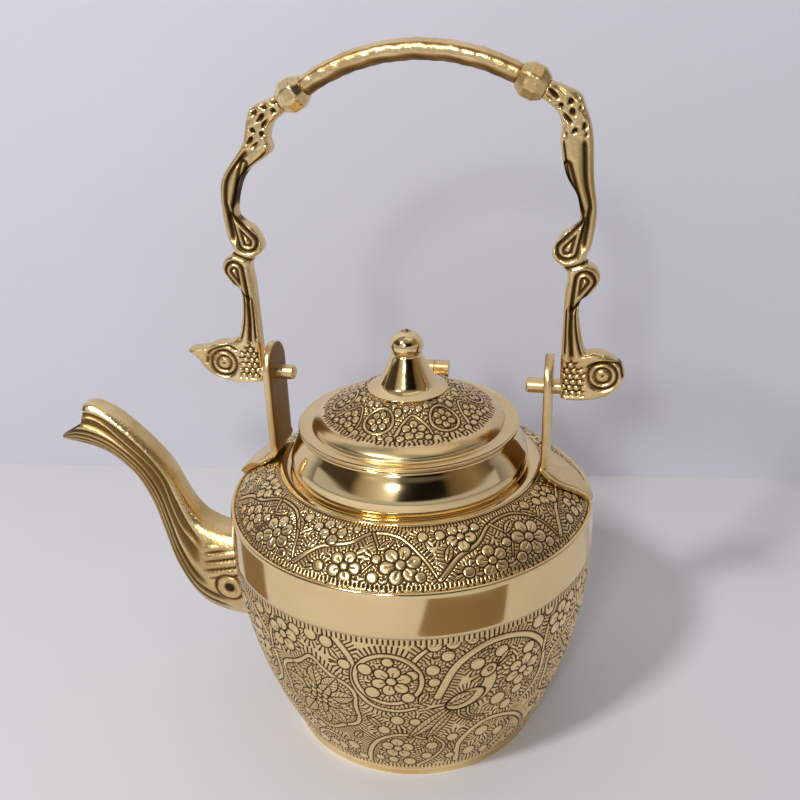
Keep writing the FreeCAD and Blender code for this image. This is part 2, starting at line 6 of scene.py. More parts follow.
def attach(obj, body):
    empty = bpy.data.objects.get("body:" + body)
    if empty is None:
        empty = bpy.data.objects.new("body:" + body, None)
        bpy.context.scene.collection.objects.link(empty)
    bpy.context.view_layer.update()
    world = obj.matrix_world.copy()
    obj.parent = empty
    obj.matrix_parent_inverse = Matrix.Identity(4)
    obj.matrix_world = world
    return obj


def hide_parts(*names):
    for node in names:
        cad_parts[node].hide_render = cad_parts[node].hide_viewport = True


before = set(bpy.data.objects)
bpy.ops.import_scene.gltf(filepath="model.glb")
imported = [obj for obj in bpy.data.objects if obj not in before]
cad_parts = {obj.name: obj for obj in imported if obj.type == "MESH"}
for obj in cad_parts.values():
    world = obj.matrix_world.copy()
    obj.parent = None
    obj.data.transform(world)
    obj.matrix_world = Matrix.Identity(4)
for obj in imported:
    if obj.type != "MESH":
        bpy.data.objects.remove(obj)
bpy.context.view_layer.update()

# Engraved brass teapot with a hinged lid and a swing handle. Sizes are in millimetres,
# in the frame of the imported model: spout along -X, lid hinge at +Y, base centre at the origin.
MM = 0.001

# Camera of the photograph
CAMERA_PLACE = (58.9, -271.7, 245.3)
CAMERA_RIGHT = (0.97764, 0.20804, -0.03069)
CAMERA_UP = (-0.05761, 0.40528, 0.91236)
CAMERA_AHEAD = (-0.2022, 0.8902, -0.4082)
LENS = 40.5
SENSOR = 36.0

# Bowl
FOOT_RADIUS = 46.3
BASE_THICK = 1.6
BELLY_RADIUS = 63.7
BELLY_HEIGHT = 72.0
BELLY_CURVE = 1.95
SEAM_HEIGHT = 87.2
SEAM_RADIUS = 63.0
SEAM_INSET = 0.7
BEAD = 1.5
SHEET = 1.2
ENGRAVED_TOP = 71.3
SKIN = 0.6
ENGRAVED_INSET = 0.12
BAND_INSET = 0.03
UNROLL_RADIUS = 62.0
BOWL_REPEATS = 4
BOWL_TURN = -109.5

# Shoulder
SHOULDER_EDGE = (61.4, 86.9)
SHOULDER_FLAT = (45.6, 98.6)
SHOULDER_CROWN = 1.6
SHOULDER_HOLE = 38.9
SHOULDER_REPEATS = 4
SHOULDER_UNROLL = 53.0
SHOULDER_TURN = -160.0

# Neck and lid
RING_RADIUS = 44.9
RING_TOP = 99.5
NECK_WALL = 1.2
NECK_TOP = 112.95
LIP_RADIUS = 37.2
LIP_BASE = 112.1
BRIM_RADIUS = 37.5
BRIM_BASE = 113.2
BRIM_TOP = 114.3
BAND_RADIUS = 32.5
DOME_TOP = 125.8
LID_REPEATS = 6
LID_UNROLL = 22.0
STUD_HOLE = 1.7

# Finial
FINIAL_RADIUS = 13.5
BALL_RADIUS = 5.65
BALL_HALF = 4.9
BALL_CENTRE = 140.9

# Brackets and handle
BRACKET_X = 45.4
BRACKET_THICK = 2.75
BRACKET_WIDTH = 17.0
BRACKET_CROWN = 131.0
PIVOT_Z = 128.9
ARM_X = 50.25
ARM_HALF_DEPTH = 3.5
ARM_END_WIDTH = 5.4
GRIP_OFFSET = 3.05
GRIP_CHORD = 63.9
GRIP_RISE = 8.4
GRIP_RADIUS = 3.15
GRIP_ENDS = (PIVOT_Z + 93.1, PIVOT_Z + 95.6)
COLLAR_LENGTH = 9.0
COLLAR_RADIUS = 5.4
COLLAR_END = 3.9

# Handle arm outline as (outwards of the inner face, up from the pivot); the top ones from the top end
ARM_OUTER_TOP = ((9.0, -0.9), (11.2, -4.8), (13.5, -12.2))
ARM_OUTER = ((7.3, 66.0), (8.6, 57.0), (7.7, 47.5), (6.2, 42.5), (9.4, 39.8), (10.6, 36.5), (8.4, 32.3),
             (5.2, 29.5), (5.0, 24.0), (6.2, 17.0), (7.8, 12.8))
ARM_INNER_TOP = ((3.0, -5.8), (4.6, -10.0), (4.4, -14.2))
ARM_INNER = ((-0.9, 68.0), (2.7, 61.5), (3.7, 54.5), (1.2, 51.8), (-1.6, 50.0), (-4.0, 45.0), (-3.0, 42.2),
             (0.8, 38.4), (0.3, 31.0), (0.2, 20.0), (0.0, 8.0), (0.3, -2.6))
BEAK = ((11.5, 10.9), (16.3, 10.3), (20.2, 8.7), (26.6, 7.3), (24.2, 5.0), (19.5, -0.7), (11.7, -3.6),
        (5.1, -3.8), (0.8, -3.4))
HEAD = ((11.2, 13.1), (14.6, 12.3), (18.4, 9.6), (20.1, 6.2), (18.8, 2.0), (15.8, -1.4), (11.5, -2.8),
        (5.8, -3.6), (0.8, -3.4))

# Spout sections: top and bottom as (out from the belly, up from the seam), then half the width
SPOUT_SECTIONS = (
    ((-10.0, -24.0), (-10.0, -61.5), 11.5),
    ((6.3, -22.7), (7.1, -61.3), 11.0),
    ((14.3, -19.6), (20.8, -56.0), 9.5),
    ((18.8, -15.2), (29.3, -41.7), 7.8),
    ((23.0, -7.2), (33.3, -25.7), 6.6),
    ((26.8, 1.8), (36.1, -14.2), 6.2),
    ((32.8, 9.8), (41.0, -3.6), 6.0),
    ((41.3, 18.4), (48.8, 4.0), 5.8),
    ((49.7, 24.5), (55.8, 7.3), 5.6),
    ((58.3, 25.3), (62.8, 8.8), 5.2),
    ((69.8, 14.3), (69.8, 9.4), 1.6),
)
MOUTH_LINE = ((71.3, 10.2), (62.8, 15.2), (59.1, 17.8), (57.6, 22.8), (57.3, 38.0))
SPOUT_WALL = 1.4

# Engraving of the bowl on its unrolled quarter: (width, points), (x, y, length, width, turn), (x, y, radius)
BOWL_STEMS = (
    (2.4, ((13, 7), (16, 17), (21, 24), (29, 27.5), (37, 25))),
    (2.8, ((50, 8), (50, 20), (58.5, 29.5), (70, 27), (79, 18), (83, 8))),
    (3.0, ((41, 47), (47, 60), (58, 66.5), (70, 64), (78, 56), (80, 46), (78, 38), (73, 33))),
    (2.6, ((9, 70), (14.5, 61), (14.6, 51), (19, 43), (27, 40.5), (34, 42))),
    (2.2, ((83, 69), (80, 61), (79, 52))),
    (2.0, ((34, 7), (41, 13), (44, 20), (40, 26))),
    (2.0, ((59, 7), (67, 12), (71, 20), (69, 24))),
    (2.0, ((86, 8), (90, 16), (97.4, 19), (105, 15))),
    (2.0, ((33, 62), (37, 66.5), (43, 70))),
)
BOWL_LEAVES = (
    (19.5, 33.5, 7.5, 3.4, -0.9), (63.5, 46.5, 7.5, 3.2, 1.2), (76, 43, 8.0, 3.4, 0.9),
    (47, 18.5, 6.5, 2.8, 1.9), (34, 19.5, 6.5, 3.0, 0.4), (63, 15.5, 6.5, 3.0, 0.5),
    (82, 34, 8.0, 3.4, 0.4), (55.5, 62, 6.0, 2.6, 0.5), (36.5, 47, 6.5, 3.0, 1.1),
    (83, 24, 7.0, 3.2, -0.7), (12, 24, 6.5, 3.0, 0.9), (5, 8.8, 6.5, 2.8, 0.4),
)
BOWL_BUDS = (
    (40, 68.6, 2.4), (45.6, 68.8, 2.4), (51.6, 69.2, 2.2), (44, 64, 2.2), (39.4, 58.8, 2.3),
    (39.8, 53.6, 2.0), (53.3, 58.6, 2.5), (61.3, 61.2, 2.4), (71.8, 57.8, 2.5), (12, 59, 2.2),
    (6.5, 66.5, 2.4), (1, 67.5, 2.4), (75, 66.5, 2.5), (80, 68.6, 2.2), (92, 66.5, 2.4),
    (39.4, 20.2, 2.4), (46.9, 24.2, 2.3), (58.3, 23.6, 2.8), (66.3, 19.5, 2.5), (55, 12.5, 2.8),
    (62.5, 9.6, 2.3), (30.6, 9.6, 2.7), (24, 10.5, 2.2), (37.6, 13.6, 2.3), (76, 11.5, 2.5),
    (89, 11, 2.6), (8, 15.5, 2.6), (2, 12.4, 2.4), (10.6, 9, 2.2), (95.5, 12.5, 2.3),
    (62, 39.5, 2.9), (69.5, 40.5, 2.3), (66, 34.6, 2.4), (27.5, 35.5, 2.4),
    (22.5, 29.5, 2.3), (33.5, 34.8, 2.0), (35.5, 29.5, 1.9), (47, 12, 2.0), (18.5, 11, 2.0),
)
RINGED_FLOWER = (25.6, 54.4, 10.4, 1.9)
RINGED_BUDS = ((18.6, 58.4, 2.4), (20.3, 48.6, 2.5), (31.6, 47, 2.3), (25.8, 62.2, 1.9), (33, 57, 2.1))
MEDALLION_PLACE = (0.0, 40.0)

# Engraving of the shoulder: (width, points), (x, y, size, petals), (x, y, radius), (x, y, turn)
SHOULDER_STEMS = (
    (1.7, ((0, 3), (6, 9), (13, 12), (20, 17), (30, 17.5), (37, 12), (40, 4))),
    (1.7, ((41, 3), (47, 10), (56, 13.5), (63, 18), (72, 17), (79, 10), (83, 3))),
    (1.2, ((20, 17), (24, 11), (22, 5))),
    (1.2, ((63, 18), (66, 11), (62, 5))),
)
SHOULDER_FLOWERS = ((8.5, 15.5, 3.3, 5), (30, 8.2, 3.9, 6), (49, 16.2, 3.2, 5), (72.5, 8.0, 3.9, 6),
                    (15.5, 5.8, 3.2, 5), (56.5, 6.0, 3.2, 5))
SHOULDER_BUDS = (
    (2, 17, 1.9), (14.5, 17.6, 1.7), (24.5, 3.6, 1.8), (37.5, 17.6, 1.9), (43, 16, 1.8),
    (35.8, 3.6, 1.7), (65, 3.8, 1.8), (79.5, 17, 1.9), (57, 18.6, 1.6), (78, 4.2, 1.7),
    (8, 4, 1.8), (49, 4.4, 1.8), (22, 9.6, 1.6), (65.5, 9.4, 1.6),
)
SHOULDER_LEAVES = ((25.5, 14.0, 0.6), (68, 14.2, 0.6), (3.5, 10.5, 1.2), (44.5, 10.6, 1.2), (36, 14.5, -0.8))
SHOULDER_LEAF = (6.4, 2.7)

# Engraving of the lid, x as a share of the repeat: (x, y) and (x, y, radius)
LID_STEM = ((0.52, 2.8), (0.62, 9), (0.78, 12), (0.95, 8), (1.0, 3))
LID_BUDS = ((0.52, 13, 1.7), (0.66, 14.6, 1.6), (0.9, 14.4, 1.7), (0.05, 15.2, 1.5), (0.42, 15.6, 1.4),
            (0.02, 2.4, 1.4), (0.47, 2.6, 1.3), (0.6, 3.0, 1.3), (0.93, 3.2, 1.2))

# Room seen in the brass above its pale low part: bearing in degrees and colour
ROOM_SIDES = (
    (-180, (0.20, 0.15, 0.10)), (-150, (0.16, 0.11, 0.07)), (-136, (0.12, 0.08, 0.04)),
    (-128, (0.9, 0.75, 0.50)), (-112, (1.5, 1.42, 1.25)), (-96, (2.3, 2.25, 2.1)), (-89, (0.05, 0.04, 0.03)),
    (-82, (0.015, 0.012, 0.010)), (-46, (0.015, 0.012, 0.010)), (-38, (0.36, 0.25, 0.13)),
    (-12, (0.66, 0.50, 0.32)), (20, (0.10, 0.07, 0.05)), (50, (0.4, 0.38, 0.36)), (150, (0.4, 0.38, 0.36)),
    (180, (0.20, 0.15, 0.10)),
)
CARD_FRONT = ((0.035, -0.150, 0.002), (0.085, -0.235, 0.002), (0.200, -0.110, 0.002), (0.125, -0.085, 0.002))
CARD_LEFT = ((-0.129, -0.050, 0.002), (-0.131, 0.006, 0.002), (-0.210, 0.045, 0.002), (-0.215, -0.055, 0.002))

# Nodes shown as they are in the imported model
PLAIN_NODES = ("base_plate", "hinge_neck_leaf", "hinge_pin", "lid_skirt", "finial_stud", "finial_washer",
               "finial_nut", "hinge_lid_leaf", "pivot_pin_spout_side", "pivot_pin_rear")


def through(points, places):
    """Points on a smooth curve through the given ones, at fractional indices: Catmull-Rom, each span a
    cubic blend of its two ends and their neighbours."""
    p = np.asarray(points, float)
    p = np.vstack([2 * p[0] - p[1], p, 2 * p[-1] - p[-2]])
    span = np.clip(np.floor(places).astype(int), 0, len(p) - 4)
    t = (np.asarray(places, float) - span)[..., None]
    a, b, c, d = p[span], p[span + 1], p[span + 2], p[span + 3]
    square, cube = 2 * a - 5 * b + 4 * c - d, 3 * b - a - 3 * c + d
    return 0.5 * (2 * b + (c - a) * t + square * t ** 2 + cube * t ** 3)


def smooth(points, steps=8):
    """Evenly indexed points on the curve through the given ones."""
    return through(points, np.linspace(0, len(points) - 1, (len(points) - 1) * steps + 1))


def ease(low, high, value):
    """0 below low, 1 above high, a smooth cubic step between."""
    t = np.clip((value - low) / (high - low), 0, 1)
    return t * t * (3 - 2 * t)


def cut(distance, width=0.55):
    """Depth of a graver's line, a bell of the distance from its middle."""
    return np.exp(-(distance / (0.6 * width)) ** 2)


def grid_faces(rows, columns, wrap_rows, wrap_columns):
    """Quads between neighbouring rows and columns; rows and columns close round where asked."""
    r = np.arange(rows if wrap_rows else rows - 1)[:, None]
    c = np.arange(columns if wrap_columns else columns - 1)[None, :]
    here, above = r * columns, (r + 1) % rows * columns
    beside = (c + 1) % columns
    return np.stack([here + c, here + beside, above + beside, above + c], -1).reshape(-1, 4)


def solid(name, points, wrap_rows=True, wrap_columns=True, patina_and_shade=None, flat=False):
    """Closed mesh object from a grid of points in millimetres; open ends get flat caps."""
    rows, columns = points.shape[:2]
    faces = grid_faces(rows, columns, wrap_rows, wrap_columns).tolist()
    walls = 0 if flat else len(faces)
    index = np.arange(rows * columns).reshape(rows, columns)
    if not wrap_rows:
        faces += [index[0, ::-1].tolist(), index[-1].tolist()]
    if not wrap_columns:
        faces += [index[:, 0].tolist(), index[::-1, -1].tolist()]
    mesh = bpy.data.meshes.new(name)
    mesh.from_pydata((points.reshape(-1, 3) * MM).tolist(), [], faces)
    mesh.polygons.foreach_set("use_smooth", np.arange(len(faces)) < walls)
    # Per-point darkening: patina in cut and cast hollows, and painted shade on the grip's underside and on
    # the brackets' faces towards the neck.
    layer = mesh.attributes.new("patina_and_shade", "FLOAT", "POINT")
    values = np.zeros(rows * columns) if patina_and_shade is None else patina_and_shade.reshape(-1)
    layer.data.foreach_set("value", np.clip(values, 0, 1).astype(np.float32))
    mesh.update()
    piece = bpy.data.objects.new(name, mesh)
    bpy.context.scene.collection.objects.link(piece)
    return piece


def place(piece, body, slot, material, *nodes):
    """Gives a piece its material and body, and hides the imported nodes that it stands for; the slot is not
    used.
    """
    piece.data.materials.append(material)
    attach(piece, body)
    if nodes:
        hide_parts(*nodes)
    return piece


def turned(profile, columns, relief=None, start=0.0, span=360.0):
    """Surface of revolution: a closed (r, z) loop carried round Z, pushed along its outward normal by
    relief. Less than a full turn runs from start to the end of its span, in degrees."""
    profile = np.asarray(profile, float)
    along = np.roll(profile, -1, 0) - np.roll(profile, 1, 0)
    normal = np.stack([along[:, 1], -along[:, 0]], 1) / np.maximum(np.hypot(*along.T), 1e-6)[:, None]
    angle = np.radians(start + np.linspace(0, span, columns, endpoint=span < 360))
    push = np.zeros((len(profile), columns)) if relief is None else relief
    r = profile[:, :1] + push * normal[:, :1]
    z = profile[:, 1:] + push * normal[:, 1:]
    return np.stack([r * np.cos(angle), r * np.sin(angle), z], -1)


class Engraving:
    """Ornament on a sheet that repeats along x. Figures are drawn over each other: each clears its inside,
    cuts its outline and leaves a slight pillow; at the end the ground left over is filled with ticks."""

    def __init__(self, width, heights, columns):
        self.width = width
        self.y, self.x = np.meshgrid(heights, np.linspace(0, width, columns), indexing="ij")
        self.groove = np.zeros(self.x.shape)
        self.pillow = np.zeros(self.x.shape)
        self.room = np.full(self.x.shape, 99.0)
        self.along = np.zeros(self.x.shape)

    def offset(self, centre):
        """Distance in x, the short way round, and in y from a centre."""
        half = self.width / 2
        return (self.x - centre[0] + half) % self.width - half, self.y - centre[1]

    def axes(self, x, y, angle):
        """Distances along and across a line through a centre, turned by an angle."""
        dx, dy = self.offset((x, y))
        return dx * np.cos(angle) + dy * np.sin(angle), dy * np.cos(angle) - dx * np.sin(angle)

    def figure(self, distance, along):
        """Draws a figure from its signed distance and the length along its outline."""
        inside = distance < 0
        self.groove = np.maximum(np.where(inside, 0, self.groove), cut(distance))
        self.pillow = np.where(inside, np.minimum(-distance, 1.0), self.pillow)
        nearer = distance < self.room
        self.along = np.where(nearer, along, self.along)
        self.room = np.where(nearer, distance, self.room)

    def bud(self, x, y, radius):
        """Round bud: a disc."""
        dx, dy = self.offset((x, y))
        self.figure(np.hypot(dx, dy) - radius, np.arctan2(dy, dx) * (radius + 1.0))

    def oval(self, x, y, length, width, angle):
        """Oval petal, its distance taken from the scaled radius."""
        u, v = self.axes(x, y, angle)
        reach = np.hypot(u / length, v / width) * 2
        self.figure((reach - 1) * min(length, width) / 2, np.arctan2(v, u) * (length + width) / 3.4)

    def flower(self, x, y, size, petals=6, turn=0.3):
        """Ring of oval petals about a round heart; each petal carries a short crease."""
        for petal in range(petals):
            angle = turn + 2 * np.pi * petal / petals
            px, py = x + size * np.cos(angle), y + size * np.sin(angle)
            self.oval(px, py, size * 1.2, size * np.sin(np.pi / petals) * 2.15, angle)
            u, v = self.axes(px, py, angle)
            stretch = (1 - ease(-0.1 * size, 0.2 * size, u)) * ease(-0.6 * size, -0.5 * size, u)
            self.groove = np.maximum(self.groove, 0.8 * cut(v, 0.4) * stretch)
        self.bud(x, y, size * 0.42)

    def stem(self, points, width):
        """Band of a width along a smooth curve, thinning to its far end; the nearest short span counts."""
        path = smooth(points, 6)
        start, run = path[:-1], np.diff(path, axis=0)
        length = np.hypot(*run.T)
        dx, dy = self.offset(start[0])
        to_x = dx[..., None] + start[0, 0] - start[:, 0]
        to_y = dy[..., None] + start[0, 1] - start[:, 1]
        share = np.clip((to_x * run[:, 0] + to_y * run[:, 1]) / length ** 2, 0, 1)
        away = np.hypot(to_x - share * run[:, 0], to_y - share * run[:, 1])
        nearest = away.argmin(-1)[..., None]
        travel = np.concatenate([[0], np.cumsum(length)[:-1]]) + share * length
        along = np.take_along_axis(travel, nearest, -1)[..., 0]
        thin = 1 - 0.4 * along / length.sum()
        beside = np.take_along_axis((to_x * run[:, 1] - to_y * run[:, 0]) / length, nearest, -1)[..., 0]
        past_end = (along <= 0) | (along >= length.sum() - 1e-9)
        along = along + np.where(past_end, beside, 0)
        self.figure(np.take_along_axis(away, nearest, -1)[..., 0] - width / 2 * thin, along)

    def leaf(self, x, y, length, width, angle, veins=True):
        """Pointed leaf between two arcs, with a rib and slanted veins."""
        u, v = self.axes(x, y, angle)
        ends = np.maximum(np.abs(u) - length / 2, 0)
        half = width / 2 * (1 - np.minimum(np.abs(u) * 2 / length, 1) ** 2)
        outside = np.hypot(np.maximum(np.abs(v) - half, 0), ends)
        distance = outside - np.maximum(half - np.abs(v), 0) * (ends == 0)
        self.figure(distance, u)
        if veins:
            inner = ease(0.2, 0.7, -distance)
            slant = np.abs((u - np.abs(v) * 1.1) / 1.7 % 1 - 0.5) * 1.7
            lines = np.maximum(cut(v, 0.45), cut(slant, 0.5) * 0.8)
            self.groove = np.maximum(self.groove, lines * inner)

    def ring(self, x, y, radius, width):
        """Round band about a centre."""
        dx, dy = self.offset((x, y))
        away = np.hypot(dx, dy)
        self.figure(np.abs(away - radius) - width / 2, np.arctan2(dy, dx) * radius)

    def ticks(self, pitch, reach):
        """Cuts short ticks at right angles to the nearest outline over the ground that is left."""
        phase = np.abs(self.along / pitch % 1 - 0.5) * pitch
        ground = ease(0.15, 0.4, self.room) * (1 - ease(reach, reach + 0.5, self.room))
        self.groove = np.maximum(self.groove, cut(phase, 0.5) * ground)
        self.pillow -= 0.35 * ease(0.1, 0.6, self.room)

    def border(self, low, high, pitch):
        """Row of upright ticks between two heights."""
        phase = np.abs(self.x / pitch % 1 - 0.5) * pitch
        band = ease(low - 0.2, low + 0.2, self.y) * (1 - ease(high - 0.2, high + 0.2, self.y))
        self.groove = self.groove * (1 - band) + cut(phase, 0.62) * band
        self.pillow = self.pillow * (1 - band)

    def clear(self, low, high):
        """Leaves a plain strip between two heights."""
        plain = ease(low - 0.3, low, self.y) * (1 - ease(high, high + 0.3, self.y))
        self.groove = self.groove * (1 - plain)
        self.pillow = self.pillow * (1 - plain)

    def finished(self):
        """Relief in millimetres and patina of one repeat, both of its ends included."""
        return 0.06 * self.pillow - 0.32 * self.groove, ease(0.32, 0.92, self.groove)


def bowl_radius(z):
    """Outside of the bowl: a power curve to the belly, then a slight draw-in to the seam."""
    rise = np.clip(1 - z / BELLY_HEIGHT, 0, 1)
    drawn = np.clip((z - BELLY_HEIGHT) / (SEAM_HEIGHT - BELLY_HEIGHT), 0, 1)
    return BELLY_RADIUS - (BELLY_RADIUS - FOOT_RADIUS) * rise ** BELLY_CURVE - SEAM_INSET * drawn ** 2


def bowl_ornament(heights, columns):
    """Quarter of the bowl's engraving: a palmette medallion, a ringed flower, a bird under an arched stem,
    and flowers and buds on curling stems."""
    art = Engraving(2 * np.pi * UNROLL_RADIUS / BOWL_REPEATS, heights, columns)
    for width, points in BOWL_STEMS:
        art.stem(points, width)
    for x, y, length, width, turn in BOWL_LEAVES:
        art.leaf(x, y, length, width, turn)
    for x, y, radius in BOWL_BUDS:
        art.bud(x, y, radius)
    art.flower(26.5, 18.5, 4.0, 5)
    art.flower(70.5, 49.0, 4.2, 6)
    art.flower(86.5, 62.0, 4.0, 5)
    art.flower(90.5, 24.5, 3.4, 5)
    art.ring(*RINGED_FLOWER)
    for x, y, radius in RINGED_BUDS:
        art.bud(x, y, radius)
    art.flower(26.6, 54.2, 4.1, 6)
    medallion(art, MEDALLION_PLACE)
    bird(art)
    art.ticks(1.3, 2.9)
    art.border(68.9, 71.2, 1.6)
    art.border(4.6, 6.6, 1.7)
    art.clear(1.0, 4.2)
    return art.finished()


def medallion(art, centre):
    """Palmette medallion: a double band with cusps, filled with veined leaves fanned from its foot."""
    dx, dy = art.offset(centre)
    angle = np.arctan2(dx, dy)
    reach = 16.2 + 0.9 * np.cos(6 * angle) + 1.8 * np.exp(-(angle / 0.16) ** 2)
    away = np.hypot(dx * 1.04, dy) - reach
    art.figure(away, angle * 16)
    art.groove = np.maximum(art.groove, cut(away + 1.9))
    inside = away < -1.9
    art.room = np.where(inside, -1.9 - away, art.room)
    for row, (count, distance, length, width) in enumerate(((10, 9.0, 11.0, 5.8), (5, 4.6, 8.6, 5.0))):
        for spoke in range(count):
            turn = 2 * np.pi * (spoke + 0.5 * row) / count + np.pi / 2
            x = centre[0] + distance * np.cos(turn)
            y = centre[1] + distance * np.sin(turn)
            art.leaf(x, y, length, width, turn)
    art.flower(centre[0], centre[1], 2.4, 6)


def bird(art):
    """Bird with a long striped tail, a veined wing, a curved neck and an open beak."""
    art.leaf(38.2, 33.8, 23.0, 4.6, 0.83)
    art.leaf(42.0, 32.6, 18.0, 3.4, 1.0)
    art.stem(((51, 41), (52, 35.5), (57.5, 33)), 1.3)
    art.stem(((48, 41), (48.6, 36), (53.5, 32)), 1.3)
    art.stem(((50, 43), (55.5, 45.5), (58, 50), (57.4, 55)), 6.6)
    art.oval(50.0, 44.0, 14.0, 7.6, 0.42)
    art.oval(57.2, 54.8, 6.2, 5.0, 0.7)
    art.leaf(62.2, 58.6, 6.4, 1.6, 0.85, veins=False)
    art.leaf(62.8, 56.6, 6.0, 1.5, 0.55, veins=False)
    art.bud(57.6, 55.2, 0.8)
    art.leaf(48.6, 44.6, 10.5, 4.8, 0.42)


def shoulder_ornament(slope, columns):
    """Quarter of the shoulder's engraving: wavy stems with round-petalled flowers, leaves and buds."""
    art = Engraving(2 * np.pi * SHOULDER_UNROLL / SHOULDER_REPEATS, slope, columns)
    for width, points in SHOULDER_STEMS:
        art.stem(points, width)
    for x, y, size, petals in SHOULDER_FLOWERS:
        art.flower(x, y, size, petals, turn=x)
    for x, y, radius in SHOULDER_BUDS:
        art.bud(x, y, radius)
    for x, y, turn in SHOULDER_LEAVES:
        art.leaf(x, y, *SHOULDER_LEAF, turn)
    art.ticks(1.15, 2.4)
    art.border(0.5, 1.9, 1.2)
    art.border(19.4, 20.7, 1.2)
    return art.finished()


def lid_ornament(slope, columns):
    """Sixth of the lid's engraving: scalloped arcs with ticks, flowers and leaves."""
    width = 2 * np.pi * LID_UNROLL / LID_REPEATS
    art = Engraving(width, slope, columns)
    art.ring(width * 0.25, 9.0, 5.0, 1.3)
    art.flower(width * 0.25, 9.0, 2.5, 6)
    art.stem([(width * x, y) for x, y in LID_STEM], 1.5)
    art.flower(width * 0.77, 6.2, 2.5, 5)
    for x, y, radius in LID_BUDS:
        art.bud(width * x, y, radius)
    art.leaf(width * 0.25, 16.0, 5.0, 2.0, 0.0)
    art.ticks(1.2, 2.4)
    art.border(0.3, 1.6, 1.2)
    relief, patina_and_shade = art.finished()
    return np.tile(relief[:, :-1], (1, LID_REPEATS)), np.tile(patina_and_shade[:, :-1], (1, LID_REPEATS))


def bowl_wall(material):
    """Engraved wall of the bowl in four quarters: its curve turned round Z, with a thin plain back."""
    columns = 400
    z = np.linspace(BASE_THICK, ENGRAVED_TOP, 232)
    relief, patina_and_shade = bowl_ornament(z, columns)
    edge = ease(BASE_THICK, BASE_THICK + 0.8, z) * (1 - ease(ENGRAVED_TOP - 0.8, ENGRAVED_TOP, z))
    back = np.array([ENGRAVED_TOP, ENGRAVED_TOP / 2, BASE_THICK])
    front = np.stack([bowl_radius(z) - ENGRAVED_INSET, z], 1)
    profile = np.vstack([front, np.stack([bowl_radius(back) - SKIN, back], 1)])
    plain = np.zeros((len(back), columns))
    relief, patina_and_shade = np.vstack([relief * edge[:, None], plain]), np.vstack([patina_and_shade, plain])
    span = 360 / BOWL_REPEATS
    for quarter in range(BOWL_REPEATS):
        points = turned(profile, columns, relief, BOWL_TURN + span * quarter, span)
        piece = solid(f"bowl_wall_{quarter + 1}", points, wrap_columns=False, patina_and_shade=patina_and_shade)
        place(piece, "pot", "engraved_brass", material, "body_bowl")


def bowl_band(material):
    """Plain band, rolled bead and lining of the bowl, turned round Z; the band stands a hair proud."""
    z = np.linspace(ENGRAVED_TOP, SEAM_HEIGHT - BEAD / 2, 14)
    outside = np.stack([bowl_radius(z) - BAND_INSET, z], 1)
    turn = np.linspace(0, np.pi, 11)[1:]
    bead = np.stack([SEAM_RADIUS - BEAD / 2 + BEAD / 2 * np.cos(turn), z[-1] + BEAD / 2 * np.sin(turn)], 1)
    seat = ((61.5, 85.7), (59.9, 85.7), (59.9, 84.5))
    z = np.linspace(82.0, BASE_THICK + SHEET + 1.2, 20)
    lining = np.stack([bowl_radius(z) - SHEET, z], 1)
    floor_edge = FOOT_RADIUS - 8
    foot = ((FOOT_RADIUS - 2, BASE_THICK + SHEET), (floor_edge, BASE_THICK + SHEET), (floor_edge, BASE_THICK),
            (FOOT_RADIUS - SKIN - 0.1, BASE_THICK))
    z = np.linspace(BASE_THICK + 2, ENGRAVED_TOP, 20)
    behind = np.stack([bowl_radius(z) - SKIN - 0.1, z], 1)
    piece = solid("bowl_band", turned(np.vstack([outside, bead, seat, lining, foot, behind]), 256))
    place(piece, "pot", "polished_brass", material, "body_bowl")


def shoulder_curve(share):
    """Outside of the shoulder: a slope from the seam to the flat, crowned by a parabola."""
    edge, flat = np.array(SHOULDER_EDGE), np.array(SHOULDER_FLAT)
    run = flat - edge
    normal = np.array([run[1], -run[0]]) / np.hypot(*run)
    share = np.asarray(share, float)[:, None]
    return edge + run * share + normal * 4 * SHOULDER_CROWN * share * (1 - share)


def shoulder(material):
    """Engraved shoulder in four quarters: slope turned round Z, flat below the neck, plain inside."""
    columns = 440
    slope = shoulder_curve(np.linspace(0, 1, 96))
    length = np.concatenate([[0], np.cumsum(np.hypot(*np.diff(slope, axis=0).T))])
    relief, patina_and_shade = shoulder_ornament(length, columns)
    relief[:2], relief[-2:] = 0, 0
    top = SHOULDER_FLAT[1]
    flat = ((SHOULDER_HOLE, top), (SHOULDER_HOLE, top - SHEET), (SHOULDER_FLAT[0] - 1, top - SHEET))
    under = shoulder_curve(np.linspace(0.92, 0.0, 8)) - (0.6, 1.1)
    profile = np.vstack([slope, flat, under, ((60.8, 85.7), (61.4, 85.7))])
    plain = np.zeros((len(profile) - len(slope), columns))
    relief, patina_and_shade = np.vstack([relief, plain]), np.vstack([patina_and_shade, plain])
    span = 360 / SHOULDER_REPEATS
    for quarter in range(SHOULDER_REPEATS):
        points = turned(profile, columns, relief, SHOULDER_TURN + span * quarter, span)
        piece = solid(f"shoulder_{quarter + 1}", points, wrap_columns=False, patina_and_shade=patina_and_shade)
        place(piece, "pot", "engraved_brass", material, "shoulder_plate")


def rounded(points, radius, steps=4):
    """Closed (r, z) loop whose corners are quadratic curves between points near them on both sides."""
    p = np.asarray(points, float)
    back, on = np.roll(p, 1, 0) - p, np.roll(p, -1, 0) - p
    back_length, on_length = np.hypot(*back.T)[:, None], np.hypot(*on.T)[:, None]
    start = p + back / back_length * np.minimum(radius, 0.45 * back_length)
    end = p + on / on_length * np.minimum(radius, 0.45 * on_length)
    t = np.linspace(0, 1, steps)[None, :, None]
    curve = start[:, None] * (1 - t) ** 2 + 2 * p[:, None] * t * (1 - t) + end[:, None] * t ** 2
    return curve.reshape(-1, 2)


